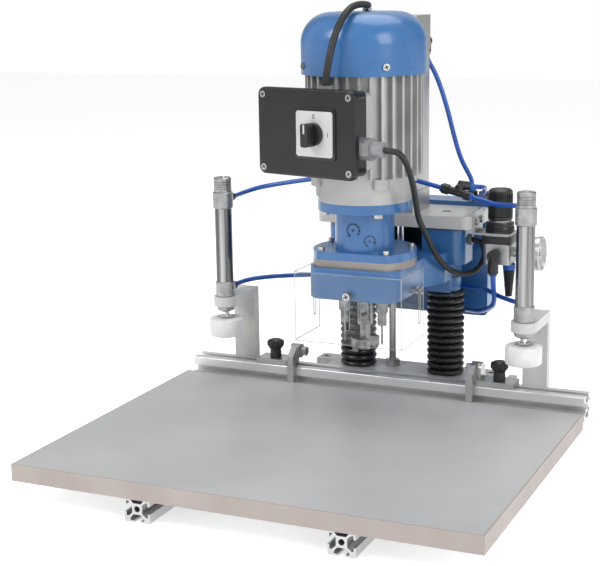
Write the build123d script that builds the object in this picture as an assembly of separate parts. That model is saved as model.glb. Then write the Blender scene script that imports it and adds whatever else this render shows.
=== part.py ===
"""Pneumatic dowel and hinge boring machine: table, fence, clamps, sliding drill head and air system.

Millimetres, +Z up.  The origin lies on the bench, in the middle of the machine's width and depth.
The operator stands at -Y.
"""
import os
from math import atan2, cos, degrees, pi, radians, sin, tan

from build123d import *

# ---------------------------------------------------------------- driving dimensions
# base frame, table and fence; the fence's rear face is the line that the head is set out from
fence_back = 135.0
machine_depth = 590.0        # table's front edge to the base profiles' rear ends
profile_size = 30.0          # slotted aluminium profile, square
slot_mouth = 8.2             # T-slot opening in every profile
slot_lip = 2.2
slot_width = 16.5
slot_depth = 9.0
profile_core = 6.8           # round hole along the profile's middle
profile_spacing = 230.0      # between the two base profiles' axes
profile_setback = 12.0       # the profiles start this far behind the table's front edge
table_width = 525.0
table_depth = 395.0
table_thick = 19.0
edge_band = 2.0
fence_gap = 5.0              # between the table's back edge and the fence
fence_lift = 7.0             # the fence hangs this far above the base profiles
fence_length = 518.0
fence_shift = 3.0            # the fence's middle lies this far to the right
fixing_inset = 60.0          # table screws, from the front and back edges
fixing_depth = 12.0
fixing_d = 6.0

# base plate, columns, top plate
plate_thick = 22.0
plate_width = 248.0
plate_depth = 100.0
wing_depth = 27.0            # depth of the plate's two side wings
tongue_width = 196.0
column_d = 20.0
column_spacing = 120.0
column_reach = 66.0          # fence's rear face to the columns' axes
column_seat = 16.0           # length of each column that sits in the base plate
column_span = 194.5          # base plate's top to the top plate's underside
top_plate_thick = 16.0
top_plate_width = 206.0
top_plate_fore = 37.0        # from the columns' axes to the top plate's front and back edges
top_plate_aft = 49.0
column_recess = 5.5          # column ends below the top plate's upper face
bolt_d = 8.0
bolt_grip = 14.0             # thread in the column's end
stop_rod_x = -15.0
stop_rod_back = 8.0          # behind the columns' axes
stop_rod_d = 9.5
stop_rod_seat = 16.0
stop_rod_nut = 9.0

# bellows
bellows_d = 48.0
bellows_root_d = 38.0
bellows_folds = 13
bellows_wall = 1.6

# drill head casting, its heights measured down from the top plate
stroke = 55.0                # travel of the head
spindle_reach = 61.6         # centre spindle's axis in front of the fence's rear face
side_pitch_x = 24.0          # side spindles, to each side
side_pitch_y = 6.0           # and in front of the centre spindle
head_gap = 2.5               # between the raised head and the top plate
carriage_height = 44.0
carriage_width = 182.0       # width over the two hubs that hold the columns
hub_width = 53.0             # each hub's width, from the carriage's outer face inwards
carriage_fore = 30.0         # hubs' front and the casting's back, from the columns' axes
carriage_aft = 24.0
hub_web = 14.0               # wall between the hubs at the back
gearbox_drop = 64.0          # carriage's top to the gearbox's underside
gearbox_height = 37.0
gearbox_width = 114.0
gearbox_fore = 50.4          # casting's front face in front of the spindle's axis
gearbox_round = 22.0
shoulder_width = 146.0       # width of the casting at the columns
boss_drop = 17.0             # column bosses below the gearbox's underside
bush_wall = 4.0
bush_length = 24.0
running_fit = 0.04           # radial clearance of a shaft in its bore
loose_fit = 0.3              # clearance beside a part that moves
gear_cavity_d = 80.0
gear_cavity_floor = 16.0
flange_d = 124.0
flange_flat = 44.0           # from the spindle axis to the flange's flat front
spacer_thick = 9.0
lower_flange = 9.5
adapter_height = 68.4
neck_d = 71.0
upper_flange_d = 111.4
upper_flange = 11.4
flange_screw_inset = 7.0
flange_screw_d = 5.0
motor_screw_d = 6.0

# motor
shield_height = 31.0
shield_d = 116.0
stator_d = 138.0
stator_height = 117.6
fin_depth = 9.0
fin_thick = 3.2
fin_count = 32
fan_cover_gap = 4.5          # between the stator's fins and the cover's outer face
fan_cover_height = 70.0
fan_cover_lap = 0.5          # the cover reaches this far down over the fins
fan_cover_round = 35.0
fan_cover_wall = 2.0
fan_screw_angles = (-49.0, 41.0, 131.0, 221.0)
fan_screw_rise = 10.0        # above the stator
rear_plate_thick = 16.0
motor_shaft_d = 14.0
rotor_d = 76.0
rotor_gap = 0.5              # air gap round the rotor

# switch box, turned about the motor's axis
box_turn = -15.0             # degrees, towards the operator's left
box_lift = 57.0              # its middle above the lower end shield
terminal_in = 60.0           # distances from the motor's axis
terminal_out = 81.0
terminal_width = 112.0
terminal_height = 86.0
box_depth = 22.0
box_width = 126.0
box_height = 94.0
lid_depth = 8.0
lid_width = 138.0
lid_height = 99.0
lid_screw_inset = 8.0
switch_plate_size = 50.0
switch_plate_thick = 3.0
switch_offset = 15.0
switch_stem_d = 10.0
gland_drop = 15.0            # side gland below the box's middle
gland_length = 33.0
gland_flats = 22.0
gland_thread_d = 12.0
entry_length = 3.0           # rubber entry on the carriage's right side
top_gland_x = 16.0
top_gland_length = 5.0

# spindles
chuck_d = 18.0
chuck_length = 38.6          # below the gearbox
shank_d = 12.0
shank_length = 16.5          # between chuck and cutter
cutter_d = 35.0
cutter_height = 15.5
spindle_d = 12.0
bearing_d = 24.0
bearing_width = 8.0
side_spindle_d = 8.0
side_bearing_d = 16.0
side_bearing_width = 6.0
side_chuck_d = 15.0
side_chuck_length = 37.1
bit_d = 2.6
bit_reach = 24.9             # bit below its holder
centre_teeth = 22
side_teeth = 18
gear_thick = 10.0

# clear guard, round the gearbox
guard_wall = 3.0
guard_space = 11.5           # gearbox's side to the guard's outer face
guard_front_space = 8.0
guard_depth = 76.0
guard_drop = 52.0            # guard below the gearbox's underside
guard_height = 84.5
guard_slot_d = 5.4
guard_travel = 35.0
guard_screw_rise = 7.0       # screws above the gearbox's underside
guard_screw_back = 14.0      # side screws in front of the guard's rear edge
guard_screw_d = 4.0

# feed cylinder on the top plate
feed_size = 58.0
feed_bore = 40.0
feed_rod_d = 16.0
feed_rod_grip = 13.0
feed_cap_low = 27.0
feed_cap_high = 42.0
feed_length = 242.5
feed_port_rise = 9.0
feed_port_x = 20.0

# rear housing
housing_width = 200.0
housing_depth = 40.0
housing_height = 149.0
housing_rise = 5.5           # above the top plate
housing_wall = 2.0
feed_entry_x = 74.0
supply_entry_x = 90.0
cable_entry_x = -40.0
entry_rise = 12.0            # fittings stand this far above the housing

# regulator and gauge, at the top plate's right end
regulator_x = 133.0
regulator_back = 11.0        # regulator's axis in front of the columns'
regulator_size = 34.0
regulator_height = 25.0
regulator_collar = 11.0
regulator_sheet = 2.5
regulator_sheet_drop = 6.5   # bracket sheet below the top plate's underside
regulator_ring = 12.0
regulator_ring_d = 34.0
regulator_neck_d = 24.0
regulator_knob_d = 31.0
regulator_knob_rise = 18.0
regulator_knob_height = 38.0
outlet_x = 132.0
outlet_rise = 12.5
gauge_d = 43.0
gauge_rise = 14.0
gauge_neck = 12.0
gauge_depth = 25.0
gauge_lens_d = 38.0

# clamps
clamp_x = 194.25
clamp_reach = 53.0           # clamps' axes in front of the fence's rear face
clamp_stroke = 50.0
clamp_tube_d = 21.5
clamp_tube_wall = 1.0
clamp_tube_length = 94.0
clamp_cap_low = 19.0
clamp_cap_high = 20.6
clamp_cap_d = 24.0
clamp_crown = 18.4
clamp_crown_d = 22.0
clamp_rod_d = 8.0
clamp_thread_d = 14.0
clamp_thread_below = 8.0     # thread below the bracket
clamp_nut = 6.0
clamp_port_d = 11.0
clamp_port_reach = 24.0
bracket_width = 30.0
bracket_thick = 12.0
bracket_top = 159.0
bracket_bolt_d = 12.0
pad_d = 43.0
pad_height = 23.0
pad_drop = 28.0              # pad's top below the bracket
pad_seat = 12.0              # length of the rod in the pad
rod_nut = 4.5

# flip stops
stop_left_x = -143.0
stop_right_x = 155.0
stop_length = 42.0
stop_thick = 7.0
stop_lug_thick = 5.0
stop_flap_offset = 31.0
stop_flap_thick = 8.0
stop_pivot_back = 11.0       # pivot in front of the fence's rear face
stop_pivot_rise = 17.0       # pivot above the fence
stop_hub_d = 18.0
stop_pin_d = 6.0
stop_knob_d = 22.0
stop_screw_d = 6.0

# hoses and cables
hose_d = 6.0
control_cable_d = 7.0
motor_cable_d = 8.0
elbow_reach = 14.0
y_connector_tilt = 13.0
branch_turn = 40.0
branch_length = 9.0
outlet_drop = 22.0
feed_port_drop = 14.0
inlet_shift = 12.0           # supply coupling, right of the regulator's axis

# ---------------------------------------------------------------- values that follow
fence_front = fence_back - profile_size
table_back = fence_front - fence_gap
table_front = table_back - table_depth
profile_back = table_front + machine_depth
table_z = profile_size
table_top = table_z + table_thick
fence_left = fence_shift - fence_length / 2
fence_right = fence_shift + fence_length / 2
fence_z = table_z + fence_lift
fence_top = fence_z + profile_size
plate_z = table_z
plate_top = plate_z + plate_thick
plate_back = fence_back + plate_depth
column_y = fence_back + column_reach
column_z = plate_top - column_seat
column_r = column_d / 2
top_plate_z = plate_top + column_span
top_plate_top = top_plate_z + top_plate_thick
top_plate_front = column_y - top_plate_fore
top_plate_back = column_y + top_plate_aft
column_top = top_plate_top - column_recess
bush_r = column_r + bush_wall
carriage_top = top_plate_z - head_gap
carriage_z = carriage_top - carriage_height
carriage_front = column_y - carriage_fore
casting_back = column_y + carriage_aft
casting_z = carriage_top - gearbox_drop
casting_top = casting_z + gearbox_height
boss_z = casting_z - boss_drop
gear_cavity_z = casting_z + gear_cavity_floor
spindle_y = fence_back - spindle_reach
casting_front = spindle_y - gearbox_fore
side_y = spindle_y - side_pitch_y
stop_rod_y = column_y + stop_rod_back
stop_rod_z = plate_top - stop_rod_seat
stop_rod_top = casting_z + 2.0
spacer_top = casting_top + spacer_thick
flange_top = spacer_top + lower_flange
adapter_top = spacer_top + adapter_height
shield_top = adapter_top + shield_height
stator_top = shield_top + stator_height
fan_cover_d = stator_d + 2 * fan_cover_gap
fan_cover_top = stator_top + fan_cover_height
fan_screw_z = stator_top + fan_screw_rise
rear_plate_top = stator_top + rear_plate_thick
rotor_r = rotor_d / 2
box_mid_z = shield_top + box_lift
box_out = terminal_out + box_depth
lid_out = box_out + lid_depth
gland_out = terminal_out + box_depth / 2
gland_z = box_mid_z - gland_drop
entry_y = column_y + 1.0
entry_z = carriage_top - 16.0
gear_z = gear_cavity_z + 4.0
spindle_top = adapter_top - 24.0
chuck_z = casting_z - chuck_length
shank_z = chuck_z - shank_length
cutter_z = shank_z - cutter_height
side_chuck_z = casting_z - side_chuck_length
bit_z = side_chuck_z - bit_reach
guard_half_width = gearbox_width / 2 + guard_space
guard_front = casting_front - guard_front_space
guard_back = guard_front + guard_depth
guard_z = casting_z - guard_drop
guard_top = guard_z + guard_height
guard_screw_z = casting_z + guard_screw_rise
guard_slot_low = guard_travel + 3.0
feed_top = top_plate_top + feed_length
feed_port_z = feed_top - feed_cap_high + feed_port_rise
feed_port_y = column_y + feed_size / 2 + 8.0
feed_piston_z = feed_top - feed_cap_high - 22.0
housing_top = top_plate_top + housing_rise
housing_z = housing_top - housing_height
housing_middle = top_plate_back + 14.0
supply_entry_z = housing_top + entry_rise / 2
regulator_y = column_y - regulator_back
regulator_plate_z = top_plate_z - regulator_sheet_drop
regulator_top = regulator_plate_z - regulator_collar
regulator_z = regulator_top - regulator_height
regulator_knob_z = regulator_plate_z + regulator_knob_rise
regulator_knob_top = regulator_knob_z + regulator_knob_height
outlet_z = regulator_z + outlet_rise
outlet_y = regulator_y - regulator_size / 2 - 8.0
gauge_z = regulator_z + gauge_rise
gauge_back = regulator_x + regulator_size / 2 + gauge_neck
gauge_front = gauge_back + gauge_depth
y_connector_place = (85.0, top_plate_front - 1.0, top_plate_top + 31.0)
low_elbows = {
    "right_low": (48.0, housing_z + 41.0, 1),
    "feed_low": (48.0, housing_z + 9.0, 1),
    "left_low": (-60.0, housing_z + 46.0, -1),
}
clamp_y = fence_back - clamp_reach
clamp_tube_z = bracket_top + clamp_cap_low
clamp_tube_top = clamp_tube_z + clamp_tube_length
clamp_head_top = clamp_tube_top + clamp_cap_high
clamp_top = clamp_head_top + clamp_crown
clamp_port_low = clamp_tube_z - 10.0
clamp_port_high = (clamp_tube_top + clamp_head_top) / 2
clamp_port_y = clamp_y + clamp_port_reach
clamp_piston_z = clamp_tube_z + clamp_stroke + 30.0
pad_top = bracket_top - pad_drop
pad_z = pad_top - pad_height
stop_places = {"left": stop_left_x, "right": stop_right_x}
stop_middle_y = (fence_front + fence_back) / 2
stop_pivot_y = fence_back - stop_pivot_back
stop_pivot_z = fence_top + stop_pivot_rise
sides = {"left": -1, "right": 1}

os.makedirs("parts", exist_ok=True)


# ---------------------------------------------------------------- small helpers
def block(x0, x1, y0, y1, z0, z1):
    """A box between two corners."""
    size = Box(x1 - x0, y1 - y0, z1 - z0)
    return Pos((x0 + x1) / 2, (y0 + y1) / 2, (z0 + z1) / 2) * size


def upright(radius, z0, z1, x=0.0, y=0.0):
    """A cylinder along Z."""
    return Pos(x, y, (z0 + z1) / 2) * Cylinder(radius, z1 - z0)


def along_y(radius, y0, y1, x=0.0, z=0.0):
    """A cylinder along Y."""
    return Pos(x, (y0 + y1) / 2, z) * Rot(90, 0, 0) * Cylinder(radius, y1 - y0)


def along_x(radius, x0, x1, y=0.0, z=0.0):
    """A cylinder along X."""
    return Pos((x0 + x1) / 2, y, z) * Rot(0, 90, 0) * Cylinder(radius, x1 - x0)


def hexagon(across_flats, z0, z1, x=0.0, y=0.0):
    """A hexagonal prism along Z."""
    outline = RegularPolygon(across_flats / 2, 6, major_radius=False)
    return Pos(x, y, z0) * extrude(outline, z1 - z0)


def upright_edges(shape, radius, low=-1000.0, high=1000.0):
    """Round the vertical edges whose middles lie between two heights."""
    edges = shape.edges().filter_by(Axis.Z)
    picked = [edge for edge in edges if low < edge.center().Z < high]
    return fillet(picked, radius)


def save(name, *shapes):
    """Write one sub-part: a single solid, or several separate ones as a group."""
    solids = [solid for shape in shapes for solid in shape.solids()]
    if len(solids) == 1:
        part = solids[0]
    else:
        part = Compound(children=solids)
    export_step(part, f"parts/{name}.step")


def cap_screw(diameter, length, head_z, x, y):
    """Socket head screw that points down, its head's underside at head_z."""
    head = upright(diameter * 0.75, head_z, head_z + diameter, x, y)
    socket = hexagon(diameter * 0.8, head_z + diameter * 0.5, head_z + diameter, x, y)
    return head - socket + upright(diameter / 2, head_z - length, head_z, x, y)


def profile_section():
    """Cross-section of the slotted profile, centred, with a T-slot in each side."""
    half = profile_size / 2
    outline = RectangleRounded(profile_size, profile_size, 1.5)
    mouth = Pos(half - slot_depth / 2, 0) * Rectangle(slot_depth, slot_mouth)
    web_gap = [
        (half - slot_lip, slot_width / 2),
        (half - slot_lip - 2.6, slot_width / 2),
        (half - slot_depth, slot_width / 2 - 3.6),
        (half - slot_depth, 3.6 - slot_width / 2),
        (half - slot_lip - 2.6, -slot_width / 2),
        (half - slot_lip, -slot_width / 2),
    ]
    chamber = make_face(Polyline(*web_gap, close=True))
    for quarter in range(4):
        outline -= Rot(0, 0, 90 * quarter) * (mouth + chamber)
    return outline - Circle(profile_core / 2)


# ---------------------------------------------------------------- base frame and table
def base_profiles():
    length = machine_depth - profile_setback
    front = Plane(origin=(0, profile_back, profile_size / 2), x_dir=(1, 0, 0), z_dir=(0, -1, 0))
    bar = extrude(front * profile_section(), length)
    return [Pos(side * profile_spacing / 2, 0, 0) * bar for side in (-1, 1)]


def table_board():
    half = table_width / 2 - edge_band
    board = block(-half, half, table_front + edge_band, table_back - edge_band, table_z, table_top)
    for x, y in fixing_places():
        board -= upright(fixing_d / 2, table_z, table_z + fixing_depth, x, y)
    return board


def table_edge_bands():
    half = table_width / 2
    inner = half - edge_band
    bands = []
    for y in (table_front, table_back - edge_band):
        bands.append(block(-half, half, y, y + edge_band, table_z, table_top))
    for x in (-half, inner):
        y0 = table_front + edge_band
        bands.append(block(x, x + edge_band, y0, table_back - edge_band, table_z, table_top))
    return bands


def fixing_places():
    """Where the table is held to the two base profiles."""
    rows = (table_front + fixing_inset, table_back - fixing_inset)
    return [(side * profile_spacing / 2, y) for side in (-1, 1) for y in rows]


def table_fixings():
    """T-nuts in the profiles' top slots, each with a stud up into the board."""
    slot_roof = profile_size - slot_lip
    studs = []
    for x, y in fixing_places():
        nut = block(x - 6.0, x + 6.0, y - 6.0, y + 6.0, slot_roof - 3.5, slot_roof)
        stud = upright(fixing_d / 2, slot_roof - 3.5, table_z + fixing_depth, x, y)
        studs.append(nut + stud)
    return studs


def fence_profile():
    middle = (fence_front + fence_back) / 2
    end = Plane(origin=(fence_left, middle, fence_z + profile_size / 2), x_dir=(0, 1, 0), z_dir=(1, 0, 0))
    return extrude(end * profile_section(), fence_right - fence_left)


def base_plate():
    half = plate_width / 2
    tongue = block(-tongue_width / 2, tongue_width / 2, fence_back, plate_back, plate_z, plate_top)
    wings = block(-half, half, plate_back - wing_depth, plate_back, plate_z, plate_top)
    plate = tongue + wings
    plate -= stop_rod_hole()
    for x in (-column_spacing / 2, column_spacing / 2):
        plate -= upright(column_r, column_z, plate_top, x, column_y)
        plate -= upright(bolt_d / 2, plate_z, column_z, x, column_y)
    for x, y in plate_bolt_places():
        plate -= upright(bolt_d / 2, plate_z, plate_top, x, y)
        plate -= upright(bolt_d * 0.8, plate_top - bolt_d, plate_top, x, y)
    return plate


def plate_bolt_places():
    y = plate_back - wing_depth / 2
    return [(side * profile_spacing / 2, y) for side in (-1, 1)]


def column_bolt(x, seat, tip, direction):
    """A screw into the end of a column; its head lies outside seat."""
    outer = seat - 4.0 * direction
    head = upright(bolt_d * 0.75, min(seat, outer), max(seat, outer), x, column_y)
    return head + upright(bolt_d / 2, min(seat, tip), max(seat, tip), x, column_y)


def frame_bolts():
    bolts = table_fixings()
    slot_roof = profile_size - slot_lip
    for x, y in plate_bolt_places():
        bolts.append(cap_screw(bolt_d, plate_thick - bolt_d + slot_lip, plate_top - bolt_d, x, y))
        nut = block(x - 6.5, x + 6.5, y - 6.5, y + 6.5, slot_roof - 4.0, slot_roof)
        bolts.append(nut)
    for x in (-column_spacing / 2, column_spacing / 2):
        bolts.append(column_bolt(x, plate_z, column_z + bolt_grip, 1))
        bolts.append(column_bolt(x, column_top, column_top - bolt_grip, -1))
    return bolts


def guide_columns():
    columns = []
    for x in (-column_spacing / 2, column_spacing / 2):
        column = upright(column_r, column_z, column_top, x, column_y)
        column -= upright(bolt_d / 2, column_z, column_z + bolt_grip, x, column_y)
        column -= upright(bolt_d / 2, column_top - bolt_grip, column_top, x, column_y)
        columns.append(column)
    return columns


def top_plate():
    half = top_plate_width / 2
    plate = block(-half, half, top_plate_front, top_plate_back, top_plate_z, top_plate_top)
    plate = upright_edges(plate, 12.0)
    plate = fillet(plate.faces().sort_by(Axis.Z)[-1].edges(), 1.5)
    for x in (-column_spacing / 2, column_spacing / 2):
        plate -= upright(column_r, top_plate_z, column_top, x, column_y)
        plate -= upright(bolt_d * 0.75 + 0.5, column_top, top_plate_top, x, column_y)
    return plate - upright(feed_rod_d / 2 + loose_fit, top_plate_z, top_plate_top, 0, column_y)


def stop_rod_hole():
    return upright(stop_rod_d / 2, stop_rod_z, plate_top, stop_rod_x, stop_rod_y)


def depth_stop_rod():
    rod = upright(stop_rod_d / 2, stop_rod_z, stop_rod_top, stop_rod_x, stop_rod_y)
    nut = hexagon(17.0, plate_top, plate_top + stop_rod_nut, stop_rod_x, stop_rod_y)
    nut = chamfer(nut.edges().filter_by(Plane.XY), 0.8)
    nut -= upright(stop_rod_d / 2, plate_top, plate_top + stop_rod_nut, stop_rod_x, stop_rod_y)
    return [rod, nut]


# ---------------------------------------------------------------- bellows
def column_bellows():
    """One convoluted rubber tube round each column, from the base plate to the casting."""
    low = plate_top
    high = boss_z
    pitch = (high - low) / bellows_folds
    outer = [(bellows_root_d / 2, low)]
    for fold in range(bellows_folds):
        outer.append((bellows_d / 2, low + pitch * (fold + 0.5)))
        outer.append((bellows_root_d / 2, low + pitch * (fold + 1)))
    inner = [(radius - bellows_wall, z) for radius, z in reversed(outer)]
    outline = Plane.XZ * make_face(Polyline(*outer, *inner, close=True))
    tube = revolve(outline, Axis.Z)
    return [Pos(side * column_spacing / 2, column_y, 0) * tube for side in (-1, 1)]


# ---------------------------------------------------------------- drill head casting
def casting_plan():
    """Half widths of the gearbox and its shoulders, front to back, as one outline."""
    narrow = gearbox_width / 2
    wide = shoulder_width / 2
    flare_start = carriage_front - 46.0
    flare_end = carriage_front - 14.0
    right = [
        (narrow, casting_front),
        (narrow, flare_start),
        (wide, flare_end),
        (wide, casting_back),
    ]
    left = [(-x, y) for x, y in reversed(right)]
    return make_face(Polyline(*right, *left, close=True))


def bush_places():
    """Lower and upper end of the bushes' bore, which is the carriage's full height."""
    return [(boss_z, boss_z + bush_length), (carriage_top - bush_length, carriage_top)]


def carriage_hubs():
    """Two tall blocks round the columns, joined by a low wall at the back."""
    half = carriage_width / 2
    inner = half - hub_width
    carriage = block(-inner, inner, casting_back - hub_web, casting_back, carriage_z, carriage_top)
    for side in (-1, 1):
        near = side * inner
        far = side * half
        hub = block(min(near, far), max(near, far), carriage_front, casting_back, carriage_z, carriage_top)
        outer = [edge for edge in hub.edges().filter_by(Axis.Z) if abs(edge.center().X) > half - 1.0]
        carriage += fillet(outer, 14.0)
    return carriage


def column_boss(x, inward):
    """Block and sleeve under the gearbox, round one column."""
    near = x + inward * 22.0
    far = x - inward * 13.0
    boss = block(min(near, far), max(near, far), column_y - 24.0, casting_back, boss_z, casting_z + 4.0)
    return boss + upright(bush_r + 5.0, boss_z, casting_z, x, column_y)


def head_casting():
    gearbox = Pos(0, 0, casting_z) * extrude(casting_plan(), gearbox_height)
    front = casting_front + 1.0
    corners = [edge for edge in gearbox.edges().filter_by(Axis.Z) if edge.center().Y < front]
    gearbox = fillet(corners, gearbox_round)
    casting = gearbox + carriage_hubs()
    for side in (-1, 1):
        x = side * column_spacing / 2
        casting += column_boss(x, -side)
    for side in (-1, 1):
        x = side * column_spacing / 2
        casting -= upright(column_r + 1.0, boss_z, carriage_top, x, column_y)
        for low, high in bush_places():
            casting -= upright(bush_r, low, high, x, column_y)
    casting -= upright(gear_cavity_d / 2, gear_cavity_z, casting_top, 0, spindle_y)
    casting -= upright(bearing_d / 2, casting_z + 2.0, gear_cavity_z, 0, spindle_y)
    casting -= upright(spindle_d / 2 + 1.0, casting_z, casting_z + 2.0, 0, spindle_y)
    for side in (-1, 1):
        x = side * side_pitch_x
        casting -= upright(side_bearing_d / 2, casting_z + 2.0, gear_cavity_z, x, side_y)
        casting -= upright(side_spindle_d / 2 + 0.5, casting_z, casting_z + 2.0, x, side_y)
    casting -= upright(stop_rod_d / 2 + 0.75, casting_z, stop_rod_top + stroke, stop_rod_x, stop_rod_y)
    casting -= upright(feed_rod_d / 2, casting_top - feed_rod_grip, casting_top, 0, column_y)
    casting -= along_x(4.0, carriage_width / 2 - 12.0, carriage_width / 2, entry_y, entry_z)
    for x, y, angle in guard_screw_places():
        casting -= guard_screw_hole(x, y, angle)
    for x, y in flange_screw_places():
        casting -= upright(flange_screw_d / 2, casting_top - 12.0, casting_top, x, y)
    return casting


def guide_bushes():
    bushes = []
    for side in (-1, 1):
        x = side * column_spacing / 2
        for low, high in bush_places():
            bush = upright(bush_r, low, high, x, column_y)
            bushes.append(bush - upright(column_r + running_fit, low, high, x, column_y))
    return bushes


# ---------------------------------------------------------------- gearbox spacer and motor adapter
def flange_outline():
    """Round flange with a flat front."""
    disc = Pos(0, spindle_y) * Circle(flange_d / 2)
    front = spindle_y - flange_flat
    return disc & (Pos(0, front + flange_d / 2) * Rectangle(flange_d, flange_d))


def flange_screw_places():
    """Screws of the lower flange, spread round it, none in the flat front's middle."""
    pitch_r = flange_d / 2 - flange_screw_inset
    angles = [-42.0, 20.0, 75.0, 105.0, 160.0, 222.0]
    spots = []
    for angle in angles:
        spots.append((pitch_r * cos(radians(angle)), spindle_y + pitch_r * sin(radians(angle))))
    return spots


def upper_screw_places():
    pitch_r = upper_flange_d / 2 - flange_screw_inset
    spots = []
    for quarter in range(4):
        angle = radians(-50.0 + 90.0 * quarter)
        spots.append((pitch_r * cos(angle), spindle_y + pitch_r * sin(angle)))
    return spots


def gearbox_spacer():
    ring = Pos(0, 0, casting_top) * extrude(flange_outline(), spacer_thick)
    ring -= upright(gear_cavity_d / 2, casting_top, spacer_top, 0, spindle_y)
    for x, y in flange_screw_places():
        ring -= upright(flange_screw_d / 2, casting_top, spacer_top, x, y)
    return ring


def motor_adapter():
    flange = Pos(0, 0, spacer_top) * extrude(flange_outline(), lower_flange)
    neck = upright(neck_d / 2, spacer_top, adapter_top, 0, spindle_y)
    upper = upright(upper_flange_d / 2, adapter_top - upper_flange, adapter_top, 0, spindle_y)
    body = flange + neck + upper
    body -= upright(bearing_d / 2, spacer_top + 3.0, spacer_top + 3.0 + bearing_width, 0, spindle_y)
    body -= upright(spindle_d / 2 + 1.0, spacer_top, spacer_top + 3.0, 0, spindle_y)
    body -= upright(18.0, spacer_top + 3.0 + bearing_width, adapter_top, 0, spindle_y)
    for side in (-1, 1):
        x = side * side_pitch_x
        body -= upright(side_bearing_d / 2, spacer_top, spacer_top + side_bearing_width, x, side_y)
    for x, y in flange_screw_places():
        body -= upright(flange_screw_d / 2, spacer_top, flange_top, x, y)
    for x, y in upper_screw_places():
        body -= upright(motor_screw_d / 2, adapter_top - upper_flange, adapter_top, x, y)
    return body


def head_screws():
    """Flange screws, motor flange screws, fan cover screws, lid screws and guard screws."""
    screws = []
    for x, y in flange_screw_places():
        screws.append(cap_screw(flange_screw_d, lower_flange + spacer_thick + 10.0, flange_top, x, y))
    for x, y in upper_screw_places():
        flange_z = adapter_top - upper_flange
        head = hexagon(10.0, flange_z - 4.5, flange_z, x, y)
        screws.append(head + upright(motor_screw_d / 2, flange_z, adapter_top + 8.0, x, y))
    for angle in fan_screw_angles:
        screws.append(fan_screw(angle))
    for across in (-1, 1):
        for up in (-1, 1):
            screws.append(lid_screw(across, up))
    for x, y, angle in guard_screw_places():
        screws.append(guard_screw(x, y, angle))
    return screws


# ---------------------------------------------------------------- motor
def motor_end_shield():
    shield = upright(upper_flange_d / 2, adapter_top, adapter_top + 6.0, 0, spindle_y)
    shield += upright(shield_d / 2, adapter_top + 6.0, shield_top, 0, spindle_y)
    for quarter in range(4):
        lug = block(shield_d / 2 - 10.0, shield_d / 2 + 6.0, -9.0, 9.0, shield_top - 12.0, shield_top)
        lug = upright_edges(lug, 3.0)
        shield += Pos(0, spindle_y, 0) * Rot(0, 0, 40.0 + 90.0 * quarter) * lug
    shield -= upright(18.0, adapter_top, shield_top - bearing_width, 0, spindle_y)
    shield -= upright(bearing_d / 2, shield_top - bearing_width, shield_top, 0, spindle_y)
    for x, y in upper_screw_places():
        shield -= upright(motor_screw_d / 2, adapter_top, adapter_top + 8.0, x, y)
    return shield


def motor_stator():
    core_r = stator_d / 2 - fin_depth
    section = Circle(core_r)
    for index in range(fin_count):
        fin = Pos(core_r + fin_depth / 2 - 1.0, 0) * Rectangle(fin_depth + 2.0, fin_thick)
        section += Rot(0, 0, 360.0 / fin_count * (index + 0.5)) * fin
    section = section & Circle(stator_d / 2)
    body = Pos(0, spindle_y, shield_top) * extrude(section, stator_height)
    body -= upright(rotor_r + rotor_gap, shield_top, stator_top, 0, spindle_y)
    return body - terminal_block()


def motor_rotor():
    """Shaft with rotor core, and the cooling fan on its upper end."""
    shaft = upright(motor_shaft_d / 2, spindle_top, fan_cover_top - 22.0, 0, spindle_y)
    core = upright(rotor_r, shield_top + 14.0, stator_top - 14.0, 0, spindle_y)
    rotor = shaft + core
    hub = upright(16.0, stator_top + 22.0, stator_top + 40.0, 0, spindle_y)
    fan = hub + upright(54.0, stator_top + 20.0, stator_top + 23.0, 0, spindle_y)
    blade = block(12.0, 52.0, -1.5, 1.5, stator_top + 22.0, stator_top + 40.0)
    for index in range(8):
        fan += Pos(0, spindle_y, 0) * Rot(0, 0, 45.0 * index) * blade
    fan -= upright(motor_shaft_d / 2, stator_top + 20.0, stator_top + 40.0, 0, spindle_y)
    return [rotor, fan]


def rear_bearing_plate():
    """Upper end shield inside the fan cover, which the cover's screws hold to."""
    plate = upright(stator_d / 2 - 6.0, stator_top, rear_plate_top, 0, spindle_y)
    for angle in fan_screw_angles:
        lug_r = fan_cover_d / 2 - fan_cover_wall
        lug = block(stator_d / 2 - 16.0, lug_r - 2.0, -6.0, 6.0, stator_top, rear_plate_top)
        lug += along_x(5.0, lug_r - 6.0, lug_r - loose_fit, 0, fan_screw_z)
        lug -= along_x(2.0, stator_d / 2 - 14.0, lug_r + 1.0, 0, fan_screw_z)
        plate += Pos(0, spindle_y, 0) * Rot(0, 0, angle) * lug
    return plate - upright(motor_shaft_d / 2 + running_fit, stator_top, rear_plate_top, 0, spindle_y)


def fan_screw(angle):
    lug_r = fan_cover_d / 2
    screw = along_x(4.0, lug_r, lug_r + 2.6, 0, fan_screw_z)
    screw += along_x(2.0, stator_d / 2 - 6.0, lug_r, 0, fan_screw_z)
    return Pos(0, spindle_y, 0) * Rot(0, 0, angle) * screw


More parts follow.
